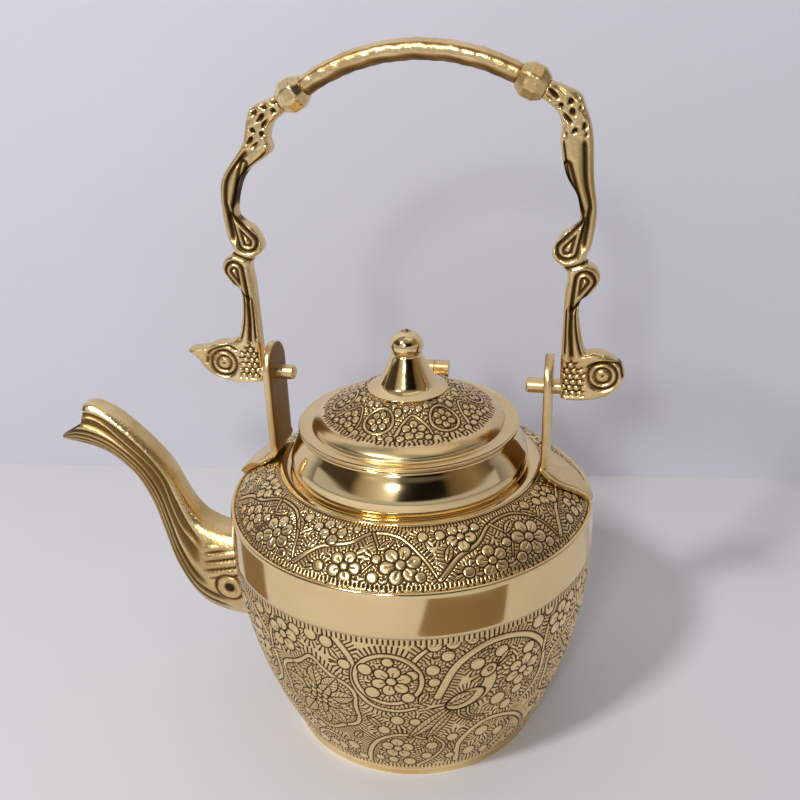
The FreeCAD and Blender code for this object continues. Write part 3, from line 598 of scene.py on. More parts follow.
def neck(material):
    """Foot ring and bulged neck with its lip, two loops turned round Z."""
    base = SHOULDER_FLAT[1]
    ring = rounded(((RING_RADIUS, base), (RING_RADIUS, RING_TOP), (42.8, RING_TOP + 0.25),
                    (40.3, RING_TOP - 0.1), (40.3, base)), 0.45)
    place(solid("neck_foot_ring", turned(ring, 192)), "pot", "polished_brass", material, "neck_ring")
    outside = smooth(((40.2, 98.7), (40.75, 100.2), (40.8, 101.6), (40.45, 104), (39.3, 106.7),
                      (37.9, 109.4), (36.6, 111.3), (36.2, LIP_BASE)), 4)
    lip = rounded(((LIP_RADIUS, LIP_BASE), (LIP_RADIUS, NECK_TOP), (35.0, NECK_TOP)), 0.3)
    inside = outside[::-4] - (NECK_WALL, 0)
    piece = solid("neck_bulge", turned(np.vstack([outside, lip[2:], inside]), 192))
    place(piece, "pot", "polished_brass", material, "neck_collar")


def lid(material):
    """Hat-shaped lid turned round Z: grooved brim, polished band, engraved dome, plain inside."""
    columns = 120 * LID_REPEATS
    brim = rounded(((BRIM_RADIUS - 0.6, BRIM_BASE), (BRIM_RADIUS, BRIM_BASE + 0.15),
                    (BRIM_RADIUS, BRIM_BASE + 0.42), (BRIM_RADIUS - 0.35, BRIM_BASE + 0.52),
                    (BRIM_RADIUS, BRIM_BASE + 0.64), (BRIM_RADIUS, BRIM_TOP - 0.05),
                    (BRIM_RADIUS - 0.5, BRIM_TOP)), 0.12, 3)
    flat = np.stack([np.linspace(36.0, BAND_RADIUS + 0.35, 5), np.full(5, BRIM_TOP)], 1)
    band = smooth(((BAND_RADIUS, BRIM_TOP + 0.35), (32.4, 115.4), (31.9, 116.1), (30.7, 117.1),
                   (29.3, 117.9)), 4)
    dome = smooth(((28.9, 118.0), (26.9, 119.0), (24.95, 120.0), (23.05, 121.0), (21.25, 122.0),
                   (19.55, 123.0), (18.05, 124.0), (16.7, 125.0), (15.3, 125.6), (13.9, DOME_TOP)), 8)
    length = np.concatenate([[0], np.cumsum(np.hypot(*np.diff(dome, axis=0).T))])
    relief, patina_and_shade = lid_ornament(length, columns // LID_REPEATS + 1)
    relief = 0.8 * relief * ease(0, 0.5, length)[:, None]
    pad = ((8.0, DOME_TOP), (STUD_HOLE, DOME_TOP), (STUD_HOLE, DOME_TOP - 1.1), (13.2, DOME_TOP - 1.1))
    inside = ((17.4, 123.4), (20.6, 121.4), (24.2, 119.4), (27.8, 117.5), (30.2, 116.2), (31.3, 115),
              (31.4, BRIM_BASE))
    profile = np.vstack([brim, flat, band, dome, pad, inside])
    before, after = len(brim) + len(flat) + len(band), len(profile)
    before_rows = np.zeros((before, columns))
    after_rows = np.zeros((after - before - len(dome), columns))
    points = turned(profile, columns, np.vstack([before_rows, relief, after_rows]))
    piece = solid("lid_shell", points, patina_and_shade=np.vstack([before_rows, patina_and_shade, after_rows]))
    place(piece, "lid", "engraved_brass", material, "lid_dome")


def knob(material):
    """Turned finial: a hollow-sided cone and an oblate ball with a small hole, one loop turned round Z."""
    cone = smooth(((FINIAL_RADIUS, 126.2), (12.3, 126.75), (10.2, 128), (9.0, 130), (7.95, 132), (6.9, 134),
                   (5.95, 136), (5.15, 138.0)), 5)
    tilt = np.linspace(-0.62, 0.47 * np.pi, 22)
    ball = np.stack([BALL_RADIUS * np.cos(tilt), BALL_CENTRE + BALL_HALF * np.sin(tilt)], 1)
    hole = ((STUD_HOLE, ball[-1, 1] + 0.02), (STUD_HOLE, DOME_TOP), (FINIAL_RADIUS - 0.2, DOME_TOP))
    piece = solid("knob", turned(np.vstack([cone, ball[ball[:, 0] > STUD_HOLE + 0.1], hole]), 128))
    place(piece, "lid", "polished_brass", material, "finial")


def bracket(side, name, node, material):
    """Upright strip bent outwards on to the shoulder: a rounded rectangle carried along a bent path,
    full-round at the top and drawn to a tongue at the foot; the foot is wrapped round the pot's axis."""
    lay = BRACKET_THICK / 2
    x_mid = BRACKET_X + lay
    slope = shoulder_curve(np.linspace(0.86, 0.03, 6)) + np.array((0.59, 0.81)) * (lay + 0.15)
    crown = BRACKET_CROWN + BRACKET_WIDTH / 2
    upright = np.stack([np.full(14, x_mid), np.linspace(crown, 104, 14)], 1)
    path = np.vstack([upright, ((x_mid + 0.1, 101.6),), slope[1:]])
    path = smooth(path, 6)
    travel = np.concatenate([[0], np.cumsum(np.hypot(*np.diff(path, axis=0).T))])
    half = BRACKET_WIDTH / 2
    top = np.sqrt(np.maximum(half ** 2 - np.maximum(half - travel, 0) ** 2, 0.02))
    left = travel[-1] - travel
    tongue = 1.0 + (half - 1.0) * ease(-3, 15, left)
    width = np.minimum(top, tongue)
    loop = rounded(((-1, -1), (1, -1), (1, 1), (-1, 1)), 0.3, 4)
    across = np.gradient(path, axis=0)
    across /= np.hypot(*across.T)[:, None]
    normal = np.stack([across[:, 1], -across[:, 0]], 1)
    y = width[:, None] * loop[None, :, 0]
    push = (lay - 0.02) * loop[None, :, 1]
    out = path[:, :1] + normal[:, :1] * push
    wrap = ease(98.0, 104.0, path[:, 1])[:, None]
    out = np.where(wrap < 1, np.sqrt(np.maximum(out ** 2 - (1 - wrap) * y ** 2, 1)), out)
    z = path[:, 1:] + normal[:, 1:] * push
    points = np.stack([side * out, y * side, z], -1)
    # Painted shade: the face turned to the neck is painted darker, most of all on the upright beside the
    # neck.
    inner_face_shade = 0.62 * ease(0.5, 0.95, loop[:, 1])[None, :]
    neck_side_shade = inner_face_shade * (0.2 + 0.8 * ease(100.0, 104.0, path[:, 1]))[:, None]
    piece = solid(name, points[::-1], wrap_rows=False, patina_and_shade=neck_side_shade[::-1])
    place(piece, "pot", "plain_brass", material, node)


def grip_frame():
    """Centre of the grip's arc and its two ends as (x, z): an arc over the chord with the given rise."""
    spout_end = np.array((GRIP_OFFSET - GRIP_CHORD / 2, GRIP_ENDS[0]))
    rear_end = np.array((GRIP_OFFSET + GRIP_CHORD / 2, GRIP_ENDS[1]))
    run = rear_end - spout_end
    chord = np.hypot(*run)
    radius = (chord ** 2 / 4 + GRIP_RISE ** 2) / (2 * GRIP_RISE)
    down = np.array((run[1], -run[0])) / chord
    return (spout_end + rear_end) / 2 + down * (radius - GRIP_RISE), spout_end, rear_end


def grip_end(side):
    """End of the grip's arc on one side and the direction in which the handle goes on."""
    centre, spout_end, rear_end = grip_frame()
    end = spout_end if side < 0 else rear_end
    spoke = end - centre
    return end, side * np.array((spoke[1], -spoke[0])) / np.hypot(*spoke)


def grip(material):
    """Arched bar: a slightly flattened round section carried along the arc, with faint hammer waves."""
    centre, spout_end, rear_end = grip_frame()
    first, last = (np.arctan2(*(end - centre)[::-1]) for end in (spout_end, rear_end))
    angle = np.linspace(first, last, 120)[:, None]
    turn = np.arange(40)[None, :] * 2 * np.pi / 40
    radius = np.hypot(*(spout_end - centre))
    wave = 0.06 * np.sin(angle * 90 + 2 * np.sin(turn)) + 0.05 * np.sin(angle * 41 + turn)
    thick = (GRIP_RADIUS - 0.15) * (1 + 0.02 * np.cos(6 * turn)) + wave
    out = radius + thick * np.cos(turn)
    x = centre[0] + out * np.cos(angle)
    y = -thick * np.sin(turn) + 0 * angle
    points = np.stack([x, y, centre[1] + out * np.sin(angle)], -1)
    # Painted shade: the lower side of the bar, from its front round to its back, is painted dark for the dark
    # room it mirrors; a dark line also runs along its upper front.
    lap = np.degrees(turn)
    line_and_underside_shade = 0.75 * np.exp(-((lap - 58) / 8) ** 2) + 0.7 * ease(95, 125, lap) * (1 - ease(300, 330, lap))
    patina_and_shade = line_and_underside_shade * (0.8 + 0.2 * np.sin(angle * 37 + 3 * turn))
    piece = solid("grip", points, wrap_rows=False, patina_and_shade=patina_and_shade)
    place(piece, "handle", "cast_brass", material, "grip_bar")


def collar(side, name, node, material):
    """Faceted bead: eight-sided rings lofted along the handle's line, its edges softened by a bevel."""
    start, along = grip_end(side)
    across = np.array((along[1], -along[0]))
    shares = np.array((0.0, 0.04, 0.3, 0.7, 0.96, 1.0))[:, None]
    rim = COLLAR_END * 0.9
    sizes = np.array((rim, COLLAR_END, COLLAR_RADIUS, COLLAR_RADIUS, COLLAR_END, rim))[:, None]
    turn = ((np.arange(8) + 0.5) * np.pi / 4)[None, :]
    middle = start + along * COLLAR_LENGTH * shares
    x = middle[:, :1] + across[0] * sizes * np.cos(turn)
    z = middle[:, 1:] + across[1] * sizes * np.cos(turn)
    points = np.stack([x, sizes * np.sin(turn), z], -1)
    piece = solid(name, points, wrap_rows=False, flat=True)
    bevel = piece.modifiers.new("soft_edges", "BEVEL")
    bevel.width = 0.9 * MM
    bevel.segments = 3
    place(piece, "handle", "cast_brass", material, node)


def teardrop(out, up, centre, radius, tip):
    """Signed distance to a drop: a disc whose radius shrinks to nothing along a line to its tip."""
    run = np.subtract(tip, centre)
    share = np.clip(((out - centre[0]) * run[0] + (up - centre[1]) * run[1]) / (run @ run), 0, 1)
    away = np.hypot(out - centre[0] - share * run[0], up - centre[1] - share * run[1])
    return away - radius * (1 - share)


def line_distance(out, up, points):
    """Distance to a smooth curve through points, the least over its short spans."""
    path = smooth(points, 6)
    start, run = path[:-1], np.diff(path, axis=0)
    to_out, to_up = out[..., None] - start[:, 0], up[..., None] - start[:, 1]
    share = np.clip((to_out * run[:, 0] + to_up * run[:, 1]) / (run ** 2).sum(1), 0, 1)
    return np.hypot(to_out - share * run[:, 0], to_up - share * run[:, 1]).min(-1)


def arm_relief(out, up, outer_edge, inner_edge, top_drop, eye):
    """Height above the arm's blank and patina, from lines, drops, beads and rings cast into its face."""
    height = np.zeros(out.shape)
    groove = np.zeros(out.shape)

    def carve(depth, distance, width, where=1.0):
        nonlocal height, groove
        line = cut(distance, width) * where
        height = height - depth * line
        groove = np.maximum(groove, line)

    shaft = ease(44.0, 48.0, up) * ease(12.5, 15.0, top_drop)
    carve(1.1, outer_edge - 2.5, 1.6, shaft)
    carve(0.6, inner_edge - 1.0, 0.8, shaft * ease(53.0, 56.0, up))
    carve(0.9, teardrop(out, up, (-0.6, 70.5), 1.0, (4.6, 57.0)), 1.3, shaft)
    lower = ease(11.0, 13.0, up) * (1 - ease(26.0, 29.0, up))
    carve(0.7, outer_edge - 1.3, 0.8, lower)
    carve(0.6, inner_edge - 1.2, 0.8, lower)
    for centre, radius, tip in (((0.6, 45.9), 2.9, (5.2, 54.5)), ((6.2, 36.0), 2.8, (2.6, 26.6))):
        drop = teardrop(out, up, centre, radius, tip)
        height = np.where(drop < 0, 0, height)
        groove = np.where(drop < 0, 0, groove)
        carve(1.1, drop - 0.2, 1.2)
        carve(0.9, drop + 1.7, 1.0)
    carve(0.9, line_distance(out, up, ((7.0, 42.2), (3.5, 40.9), (-0.5, 39.6))), 1.1)
    carve(1.1, line_distance(out, up, ((2.7, 27.0), (2.6, 20.0), (3.3, 12.0))), 1.4)
    beads = (1 - ease(10.5, 12.5, up + np.abs(out - 3.5))) * (1 - ease(7.4, 8.2, out))
    beads = beads * ease(0.3, 1.0, out) * ease(-2.2, -1.2, up)
    row = np.floor(up / 1.9)
    bead = np.hypot((out + 0.5 * 2.2 * (row % 2)) % 2.2 - 1.1, up % 1.9 - 0.95)
    height = height + beads * (0.85 * np.sqrt(np.maximum(1 - (bead / 1.1) ** 2, 0)) - 0.85)
    groove = np.maximum(groove, beads * ease(0.65, 1.1, bead))
    away = np.hypot(out - eye[0], up - eye[1])
    carve(0.9, away - 4.5, 1.1)
    carve(0.9, away - 2.5, 1.0)
    height = height + 0.4 * np.exp(-(away / 1.3) ** 2)
    carve(0.9, away, 1.0)
    brow = ((8.6, 8.5), (11.5, 9.8), (eye[0] + 4.6, eye[1] + 4.2), (eye[0] + 6.2, eye[1]))
    carve(0.7, line_distance(out, up, brow), 0.8)
    pebbles = 1 - ease(11.5, 14.0, top_drop)
    lumps = np.sin(out * 1.5 + 1.3 * np.sin(up * 0.9)) * np.sin(up * 1.3 + out * 0.6)
    edge = np.minimum(outer_edge, inner_edge)
    height = height + pebbles * ease(0.4, 1.4, edge) * 0.9 * lumps
    groove = np.maximum(groove, pebbles * ease(0.0, 0.6, -lumps) * ease(0.9, 1.8, edge))
    return height, ease(0.25, 1.0, groove)


def arm(side, name, node, foot, eye, material):
    """Cast arm: a ribbon between its inner and outer outline, thick in the middle and thin at its edges,
    with both faces pushed in and out by the cast ornament."""
    start, along = grip_end(side)
    top = start + along * COLLAR_LENGTH
    across = np.array((-along[1], along[0])) * ARM_END_WIDTH / 2
    corners = sorted((top + across, top - across), key=lambda corner: corner[1])
    to_side = np.array((side, 1.0))
    pivot = np.array((side * ARM_X, PIVOT_Z))
    outer = np.vstack([corners[1], top + to_side * ARM_OUTER_TOP, pivot + to_side * ARM_OUTER,
                       pivot + to_side * foot])
    inner = np.vstack([corners[0], top + to_side * ARM_INNER_TOP, pivot + to_side * ARM_INNER])
    outer_stops = (0, 3, 5, 6, 7, 10, 14, len(outer) - 1)
    inner_stops = (0, 3, 5, 9, 11, 12, 14, len(inner) - 1)
    stops = np.array((0, 16, 34, 47, 53, 63, 82, 130)) / 130
    share = np.linspace(0, 1, 400)
    far = through(outer, np.interp(share, stops, outer_stops))[:, None]
    near = through(inner, np.interp(share, stops, inner_stops))[:, None]
    b = np.sin(np.linspace(-np.pi / 2, np.pi / 2, 44))[None, :]
    face = near + (far - near) * (b[..., None] + 1) / 2
    half = np.hypot(*(far - near)[:, 0].T)[:, None] / 2
    outer_edge, inner_edge = (1 - b) * half, (1 + b) * half
    edge = np.minimum(outer_edge, inner_edge)
    out, up = side * face[..., 0] - ARM_X, face[..., 1] - PIVOT_Z
    swell = np.sqrt(np.clip(1 - (1 - np.clip(edge / 2.6, 0, 1)) ** 2, 0, 1))
    depth = 1.3 + (ARM_HALF_DEPTH - 1.3) * swell
    height, groove = arm_relief(out, up, outer_edge, inner_edge, top[1] - face[..., 1], eye)
    depth = np.clip(depth + height * ease(0.0, 0.8, edge), 0.6, ARM_HALF_DEPTH)
    front = np.stack([face[..., 0], -depth, face[..., 1]], -1)
    back = np.stack([face[..., 0], depth, face[..., 1]], -1)
    points = np.concatenate([front, back[:, ::-1]], 1)
    patina_and_shade = np.concatenate([groove, groove[:, ::-1]], 1)
    if side > 0:
        points, patina_and_shade = points[::-1], patina_and_shade[::-1]
    piece = solid(name, points, wrap_rows=False, patina_and_shade=patina_and_shade)
    place(piece, "handle", "cast_brass", material, node)


def spout_point(station, turn, wall):
    """Point of the spout: an ellipse, squared off at the top, spanned by top, bottom and half width."""
    top = np.array([section[0] for section in SPOUT_SECTIONS], float)
    bottom = np.array([section[1] for section in SPOUT_SECTIONS], float)
    widths = np.array([[section[2]] for section in SPOUT_SECTIONS], float)
    high, low = through(top, station), through(bottom, station)
    middle, reach = (high + low) / 2, (high - low) / 2
    length = np.hypot(reach[..., 0], reach[..., 1])[..., None]
    lift, spread = np.cos(turn), np.sin(turn)
    box = ease(-0.5, 0.6, lift)
    spread = np.sign(spread) * np.abs(spread) ** (1 - 0.42 * box)
    lift = np.sign(lift) * np.abs(lift) ** (1 - 0.1 * box)
    point = middle + reach * (1 - wall / length) * lift[..., None]
    y = (through(widths, station)[..., 0] - wall) * spread
    return np.stack([-BELLY_RADIUS - point[..., 0], y, SEAM_HEIGHT + point[..., 1]], -1)


def first_crossing(values, stations):
    """Station in each column where values first turn from negative to positive, between two rows."""
    row = np.argmax(values > 0, axis=0)
    row = np.where(row == 0, len(values) - 1, row)
    column = np.arange(values.shape[1])
    low, high = values[row - 1, column], values[row, column]
    share = np.clip(low / (low - high), 0, 1)
    return stations[row - 1] + share * (stations[row] - stations[row - 1])


def spout(material):
    """Curved spout: outer wall from the bowl to the beak mouth and inner wall back, one closed shell.
    Flutes run along its sides; at its root are gadroons and a scroll."""
    columns, rows = 168, 300
    turn = np.arange(columns) * 2 * np.pi / columns
    stations = np.linspace(0, len(SPOUT_SECTIONS) - 1, 600)
    trial = spout_point(stations[:, None] + 0 * turn, turn[None] + 0 * stations[:, None], 0.0)
    inside_bowl = np.hypot(trial[..., 0], trial[..., 1]) - bowl_radius(trial[..., 2]) + 0.5
    root = first_crossing(inside_bowl, stations)
    line = np.array(MOUTH_LINE)
    mouth_line = np.interp(trial[..., 2] - SEAM_HEIGHT, line[:, 1], line[:, 0])
    mouth = first_crossing(-BELLY_RADIUS - trial[..., 0] - mouth_line, stations)
    share = np.linspace(0, 1, rows)[:, None]
    station = root + (mouth - root) * share
    around = turn[None] + 0 * share
    outer = spout_point(station, around, 0.0)
    groove, height = spout_relief(station, around, outer)
    centre = spout_point(station, around, 3.0)
    away = outer - centre
    outer = outer + away / np.linalg.norm(away, axis=-1, keepdims=True) * height[..., None]
    back = station[::-6]
    inner = spout_point(back, turn[None] + 0 * back, SPOUT_WALL)
    points = np.concatenate([outer, inner])
    # The inner wall is set evenly darker, 0.7 throughout.
    patina_and_shade = np.concatenate([groove, np.full(back.shape, 0.7)])
    piece = solid("spout_shell", points[:, ::-1], patina_and_shade=patina_and_shade[:, ::-1])
    place(piece, "pot", "cast_brass", material, "spout")


def spout_relief(station, turn, point):
    """Height and patina of the spout's ornament: a dark channel under the roof's edge, ridges at fixed
    turns below, gadroons near the root and a small scroll."""
    side = np.degrees(np.abs((turn + np.pi) % (2 * np.pi) - np.pi))
    run = ease(1.6, 2.6, station)
    channel = ease(46, 54, side) * (1 - ease(80, 92, side)) * run
    height = -1.0 * channel
    groove = 0.72 * channel
    ripple = np.exp(-((side - 68 - 4 * np.sin(station * 2.1)) / 4.0) ** 2) * run
    height = height + 0.6 * ripple
    groove = groove * (1 - 0.8 * ripple)
    for ridge, width, first in ((97, 5.0, 1.5), (111, 4.5, 0.8), (126, 4.5, 0.8), (143, 5.5, 0.8)):
        sway = 4 * np.sin(station * 0.9)
        line = np.exp(-((side - ridge - sway) / width) ** 2) * ease(first, first + 0.6, station)
        height = height - 0.65 * line
        groove = np.maximum(groove, 0.9 * line)
    x, z = -point[..., 0] - BELLY_RADIUS, point[..., 2]
    gadroon = ease(42, 52, side) * (1 - ease(84, 96, side)) * (1 - ease(1.4, 2.0, station))
    wave = np.sin((z - 47.0 + 0.25 * x) * 1.75)
    height = height + 0.55 * gadroon * wave
    groove = np.maximum(groove, gadroon * ease(0.35, 1.0, -wave))
    away = np.hypot(x - 5.2, z - 43.5)
    scroll = (1 - ease(5.6, 6.6, away)) * ease(60, 75, side)
    ring = np.exp(-((away - 3.9) / 1.1) ** 2)
    height = height * (1 - scroll) + scroll * (1.0 * ring - 0.5)
    groove = groove * (1 - scroll) + scroll * np.maximum(1 - ease(1.6, 2.6, away), cut(away - 5.7, 1.2))
    return np.clip(groove, 0, 1), height


def shader_group(name, inputs, outputs):
    """Empty shader node group with value inputs (name, default) and named outputs."""
    tree = bpy.data.node_groups.new(name, "ShaderNodeTree")
    for label, default in inputs:
        socket = tree.interface.new_socket(label, in_out="INPUT", socket_type="NodeSocketFloat")
        socket.default_value = default
    for label, kind in outputs:
        tree.interface.new_socket(label, in_out="OUTPUT", socket_type=kind)
    return tree, tree.nodes.new("NodeGroupInput"), tree.nodes.new("NodeGroupOutput")


def add(tree, kind, **settings):
    """New node with settings; a key starting with in_ sets the input of that index."""
    node = tree.nodes.new(kind)
    for key, value in settings.items():
        if key.startswith("in_"):
            node.inputs[int(key[3:])].default_value = value
        else:
            setattr(node, key, value)
    return node


def brass_group():
    """Brass skin: pale metal clouded by tarnish, darkened by patina and by painted shade, with grain and fine
    scratches.
    """
    tree, inlet, outlet = shader_group(
        "brass_skin",
        (("Tarnish", 0.3), ("Polish", 0.2), ("Grain", 0.2), ("Depth", 1.0)),
        (("Color", "NodeSocketColor"), ("Roughness", "NodeSocketFloat"), ("Metallic", "NodeSocketFloat"),
         ("Height", "NodeSocketFloat")))
    link = tree.links.new
    coords = add(tree, "ShaderNodeTexCoord")
    # Darkening read per point: patina in hollows, and painted shade on the grip and brackets.
    patina_and_shade = add(tree, "ShaderNodeAttribute", attribute_name="patina_and_shade")
    cloud = add(tree, "ShaderNodeTexNoise")
    cloud.inputs["Scale"].default_value = 45.0
    cloud.inputs["Detail"].default_value = 5.0
    grain = add(tree, "ShaderNodeTexNoise")
    grain.inputs["Scale"].default_value = 900.0
    grain.inputs["Detail"].default_value = 3.0
    scratch_map = add(tree, "ShaderNodeMapping")
    scratch_map.inputs["Scale"].default_value = (60.0, 60.0, 1600.0)
    scratch = add(tree, "ShaderNodeTexNoise")
    scratch.inputs["Scale"].default_value = 1.0
    scratch.inputs["Detail"].default_value = 2.0
    for node in (cloud, grain, scratch_map):
        link(coords.outputs["Object"], node.inputs["Vector"])
    link(scratch_map.outputs[0], scratch.inputs["Vector"])
    clean = add(tree, "ShaderNodeMix", data_type="RGBA")
    clean.inputs[6].default_value = (0.89, 0.69, 0.37, 1.0)
    clean.inputs[7].default_value = (0.60, 0.41, 0.16, 1.0)
    spread = add(tree, "ShaderNodeMapRange", interpolation_type="SMOOTHSTEP", in_1=0.35, in_2=0.75)
    link(cloud.outputs["Fac"], spread.inputs[0])
    clouded = add(tree, "ShaderNodeMath", operation="MULTIPLY")
    link(spread.outputs[0], clouded.inputs[0])
    link(inlet.outputs["Tarnish"], clouded.inputs[1])
    link(clouded.outputs[0], clean.inputs[0])
    dark = add(tree, "ShaderNodeMath", operation="MULTIPLY", use_clamp=True)
    link(patina_and_shade.outputs["Fac"], dark.inputs[0])
    link(inlet.outputs["Depth"], dark.inputs[1])
    brown = add(tree, "ShaderNodeMix", data_type="RGBA")
    brown.inputs[7].default_value = (0.30, 0.17, 0.05, 1.0)
    begun = add(tree, "ShaderNodeMapRange", interpolation_type="SMOOTHSTEP", in_1=0.0, in_2=0.45)
    link(dark.outputs[0], begun.inputs[0])
    link(begun.outputs[0], brown.inputs[0])
    link(clean.outputs[2], brown.inputs[6])
    skin = add(tree, "ShaderNodeMix", data_type="RGBA")
    skin.inputs[7].default_value = (0.030, 0.018, 0.006, 1.0)
    black = add(tree, "ShaderNodeMapRange", interpolation_type="SMOOTHSTEP", in_1=0.35, in_2=1.0)
    link(dark.outputs[0], black.inputs[0])
    link(black.outputs[0], skin.inputs[0])
    link(brown.outputs[2], skin.inputs[6])
    link(skin.outputs[2], outlet.inputs["Color"])
    rough = add(tree, "ShaderNodeMath", operation="MULTIPLY_ADD")
    link(clouded.outputs[0], rough.inputs[0])
    rough.inputs[1].default_value = 0.16
    link(inlet.outputs["Polish"], rough.inputs[2])
    dull = add(tree, "ShaderNodeMath", operation="MULTIPLY_ADD", use_clamp=True, in_1=0.35)
    link(dark.outputs[0], dull.inputs[0])
    link(rough.outputs[0], dull.inputs[2])
    link(dull.outputs[0], outlet.inputs["Roughness"])
    metal = add(tree, "ShaderNodeMath", operation="MULTIPLY_ADD", in_1=-0.15, in_2=1.0)
    link(dark.outputs[0], metal.inputs[0])
    link(metal.outputs[0], outlet.inputs["Metallic"])
    fine = add(tree, "ShaderNodeMath", operation="MULTIPLY")
    link(grain.outputs["Fac"], fine.inputs[0])
    link(inlet.outputs["Grain"], fine.inputs[1])
    rub = add(tree, "ShaderNodeMath", operation="MULTIPLY_ADD", in_1=0.08)
    link(scratch.outputs["Fac"], rub.inputs[0])
    link(fine.outputs[0], rub.inputs[2])
    link(rub.outputs[0], outlet.inputs["Height"])
    return tree


def brass(name, group, tarnish, polish, grain, depth, bump):
    """Brass material: the shared skin with its own amounts, and a fine bump."""
    material = bpy.data.materials.new(name)
    material.use_nodes = True
    tree = material.node_tree
    shader = tree.nodes["Principled BSDF"]
    skin = add(tree, "ShaderNodeGroup", node_tree=group)
    for label, value in (("Tarnish", tarnish), ("Polish", polish), ("Grain", grain), ("Depth", depth)):
        skin.inputs[label].default_value = value
    tree.links.new(skin.outputs["Color"], shader.inputs["Base Color"])
    tree.links.new(skin.outputs["Roughness"], shader.inputs["Roughness"])
    tree.links.new(skin.outputs["Metallic"], shader.inputs["Metallic"])
    relief = add(tree, "ShaderNodeBump")
    relief.inputs["Strength"].default_value = bump
    relief.inputs["Distance"].default_value = 0.0004
    tree.links.new(skin.outputs["Height"], relief.inputs["Height"])
    tree.links.new(relief.outputs["Normal"], shader.inputs["Normal"])
    return material


def stage_material(name, colour, one_sided=False):
    """Matt painted surface with faint mottling; a one-sided one can be seen through from behind."""
    material = bpy.data.materials.new(name)
    material.use_nodes = True
    tree = material.node_tree
    shader = tree.nodes["Principled BSDF"]
    shader.inputs["Roughness"].default_value = 0.8
    noise = add(tree, "ShaderNodeTexNoise")
    noise.inputs["Scale"].default_value = 9.0
    tint = add(tree, "ShaderNodeMix", data_type="RGBA")
    tint.inputs[6].default_value = (*colour, 1.0)
    tint.inputs[7].default_value = (*(c * 0.95 for c in colour), 1.0)
    tree.links.new(add(tree, "ShaderNodeTexCoord").outputs["Object"], noise.inputs["Vector"])
    tree.links.new(noise.outputs["Fac"], tint.inputs[0])
    tree.links.new(tint.outputs[2], shader.inputs["Base Color"])
    if one_sided:
        mix = add(tree, "ShaderNodeMixShader")
        tree.links.new(add(tree, "ShaderNodeNewGeometry").outputs["Backfacing"], mix.inputs[0])
        tree.links.new(shader.outputs[0], mix.inputs[1])
        tree.links.new(add(tree, "ShaderNodeBsdfTransparent").outputs[0], mix.inputs[2])
        tree.links.new(mix.outputs[0], tree.nodes["Material Output"].inputs["Surface"])
    return material


def sheet(name, corners, material, only_mirrored=False):
    """Flat stage surface through four corners in metres; one that is only mirrored shows in metal alone."""
    mesh = bpy.data.meshes.new(name)
    mesh.from_pydata(corners, [], [(0, 1, 2, 3)])
    mesh.materials.append(material)
    piece = bpy.data.objects.new(name, mesh)
    bpy.context.scene.collection.objects.link(piece)
    if only_mirrored:
        piece.visible_camera = False
        piece.visible_diffuse = False
        piece.visible_shadow = False


def area_light(name, place_m, target, power, size, colour):
    """Square soft light aimed at a target."""
    lamp = bpy.data.lights.new(name, "AREA")
    lamp.energy = power
    lamp.size = size
    lamp.color = colour
    light = bpy.data.objects.new(name, lamp)
    back = Vector(place_m) - Vector(target)
    light.matrix_world = Matrix.Translation(place_m) @ back.to_track_quat("Z", "Y").to_matrix().to_4x4()
    bpy.context.scene.collection.objects.link(light)


def build_stage():
    """Pale floor, pale wall behind, soft lights and a room that is darker in front than above."""
    floor = stage_material("floor_paint", (0.72, 0.72, 0.75))
    sheet("floor", ((-3, -3, 0), (3, -3, 0), (3, 3, 0), (-3, 3, 0)), floor)
    wall = stage_material("wall_paint", (0.66, 0.66, 0.73), one_sided=True)
    sheet("wall", ((-3.0, -0.165, 0), (3.0, 0.506, 0), (3.0, 0.506, 2.5), (-3.0, -0.165, 2.5)), wall)
    area_light("key", (-0.41, -0.66, 0.92), (0, 0, 0.08), 6.6, 0.13, (0.98, 0.98, 0.99))
    area_light("front", (-0.10, -1.14, 0.70), (0, 0, 0.12), 3.5, 0.14, (1.0, 0.98, 0.97))
    area_light("top", (0.25, 0.0, 1.3), (0, 0, 0.1), 1.2, 0.9, (1.0, 0.92, 0.80))
    dim = stage_material("dim_card_paint", (0.26, 0.18, 0.09))
    sheet("card_front", CARD_FRONT, dim, only_mirrored=True)
    sheet("card_left", CARD_LEFT, dim, only_mirrored=True)
    build_room()


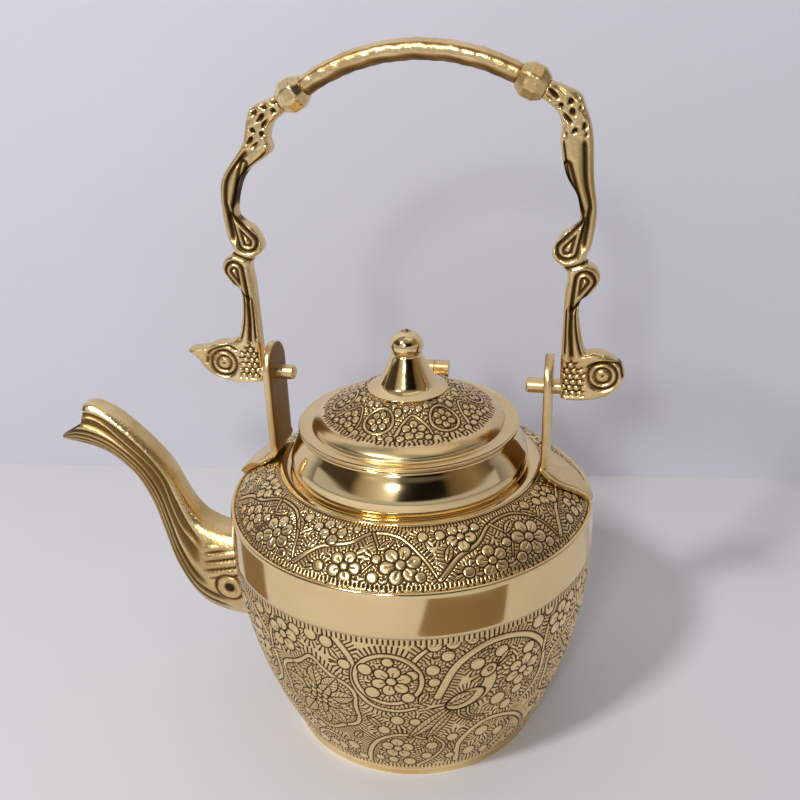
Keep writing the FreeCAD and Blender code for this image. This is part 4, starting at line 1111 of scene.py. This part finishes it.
def build_room():
    """World by direction: pale near the floor, then dim sides with a window strip, a bright ceiling."""
    world = bpy.data.worlds.new("room")
    bpy.context.scene.world = world
    world.use_nodes = True
    tree = world.node_tree
    link = tree.links.new
    split = add(tree, "ShaderNodeSeparateXYZ")
    link(add(tree, "ShaderNodeTexCoord").outputs["Generated"], split.inputs[0])
    bearing = add(tree, "ShaderNodeMath", operation="ARCTAN2")
    link(split.outputs["Y"], bearing.inputs[0])
    link(split.outputs["X"], bearing.inputs[1])
    round_about = add(tree, "ShaderNodeMapRange", in_1=-np.pi, in_2=np.pi)
    link(bearing.outputs[0], round_about.inputs[0])
    sides = add(tree, "ShaderNodeValToRGB")
    fill_ramp(sides.color_ramp, ROOM_SIDES)
    link(round_about.outputs[0], sides.inputs[0])
    ceiling = add(tree, "ShaderNodeMapRange", interpolation_type="SMOOTHSTEP", in_1=0.55, in_2=0.80)
    link(split.outputs["Z"], ceiling.inputs[0])
    blend = add(tree, "ShaderNodeMix", data_type="RGBA")
    blend.inputs[7].default_value = (0.77, 0.73, 0.66, 1.0)
    link(ceiling.outputs[0], blend.inputs[0])
    low = add(tree, "ShaderNodeMapRange", interpolation_type="SMOOTHSTEP", in_1=0.17, in_2=0.24)
    link(split.outputs["Z"], low.inputs[0])
    above = add(tree, "ShaderNodeMix", data_type="RGBA")
    above.inputs[6].default_value = (1.30, 1.30, 1.38, 1.0)
    link(low.outputs[0], above.inputs[0])
    link(sides.outputs[0], above.inputs[7])
    link(above.outputs[2], blend.inputs[6])
    seen = add(tree, "ShaderNodeMix", data_type="RGBA")
    seen.inputs[7].default_value = (1.62, 1.62, 1.74, 1.0)
    link(add(tree, "ShaderNodeLightPath").outputs["Is Camera Ray"], seen.inputs[0])
    link(blend.outputs[2], seen.inputs[6])
    link(seen.outputs[2], tree.nodes["Background"].inputs["Color"])
    tree.nodes["Background"].inputs["Strength"].default_value = 0.37


def fill_ramp(ramp, stops):
    """Sets a colour ramp from bearings in degrees and their colours."""
    while len(ramp.elements) < len(stops):
        ramp.elements.new(0.5)
    for element, (bearing, colour) in zip(ramp.elements, stops):
        element.position = (bearing + 180) / 360
        element.color = (*colour, 1.0)


def build_camera():
    """Camera of the photograph."""
    lens = bpy.data.cameras.new("camera")
    lens.lens = LENS
    lens.sensor_width = SENSOR
    lens.clip_start = 0.01
    camera = bpy.data.objects.new("camera", lens)
    axes = np.eye(4)
    axes[:3, 0], axes[:3, 1], axes[:3, 2] = CAMERA_RIGHT, CAMERA_UP, -np.array(CAMERA_AHEAD)
    axes[:3, 3] = np.array(CAMERA_PLACE) * MM
    camera.matrix_world = Matrix(axes.tolist())
    bpy.context.scene.collection.objects.link(camera)
    bpy.context.scene.camera = camera


def build_pot():
    """Every visible piece of the pot with its finish."""
    group = brass_group()
    engraved = brass("engraved_brass", group, 0.35, 0.20, 0.25, 1.0, 0.15)
    polished = brass("polished_brass", group, 0.2, 0.09, 0.05, 0.5, 0.06)
    cast = brass("cast_brass", group, 0.9, 0.20, 1.0, 0.92, 0.4)
    plain = brass("plain_brass", group, 0.7, 0.24, 0.5, 0.85, 0.3)
    bowl_wall(engraved)
    bowl_band(polished)
    shoulder(engraved)
    neck(polished)
    lid(engraved)
    knob(polished)
    for side, end in ((-1, "spout_side"), (1, "rear")):
        bracket(side, f"strip_{end}", f"bracket_{end}", plain)
        collar(side, f"bead_{end}", f"grip_collar_{end}", cast)
    grip(cast)
    arm(-1, "arm_beak", "handle_arm_spout_side", BEAK, (13.4, 3.4), cast)
    arm(1, "arm_round", "handle_arm_rear", HEAD, (13.2, 5.6), cast)
    spout(cast)
    for node in PLAIN_NODES:
        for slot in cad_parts[node].material_slots:
            slot.material = plain


build_camera()
build_stage()
build_pot()
bpy.context.scene.view_settings.view_transform = "Standard"
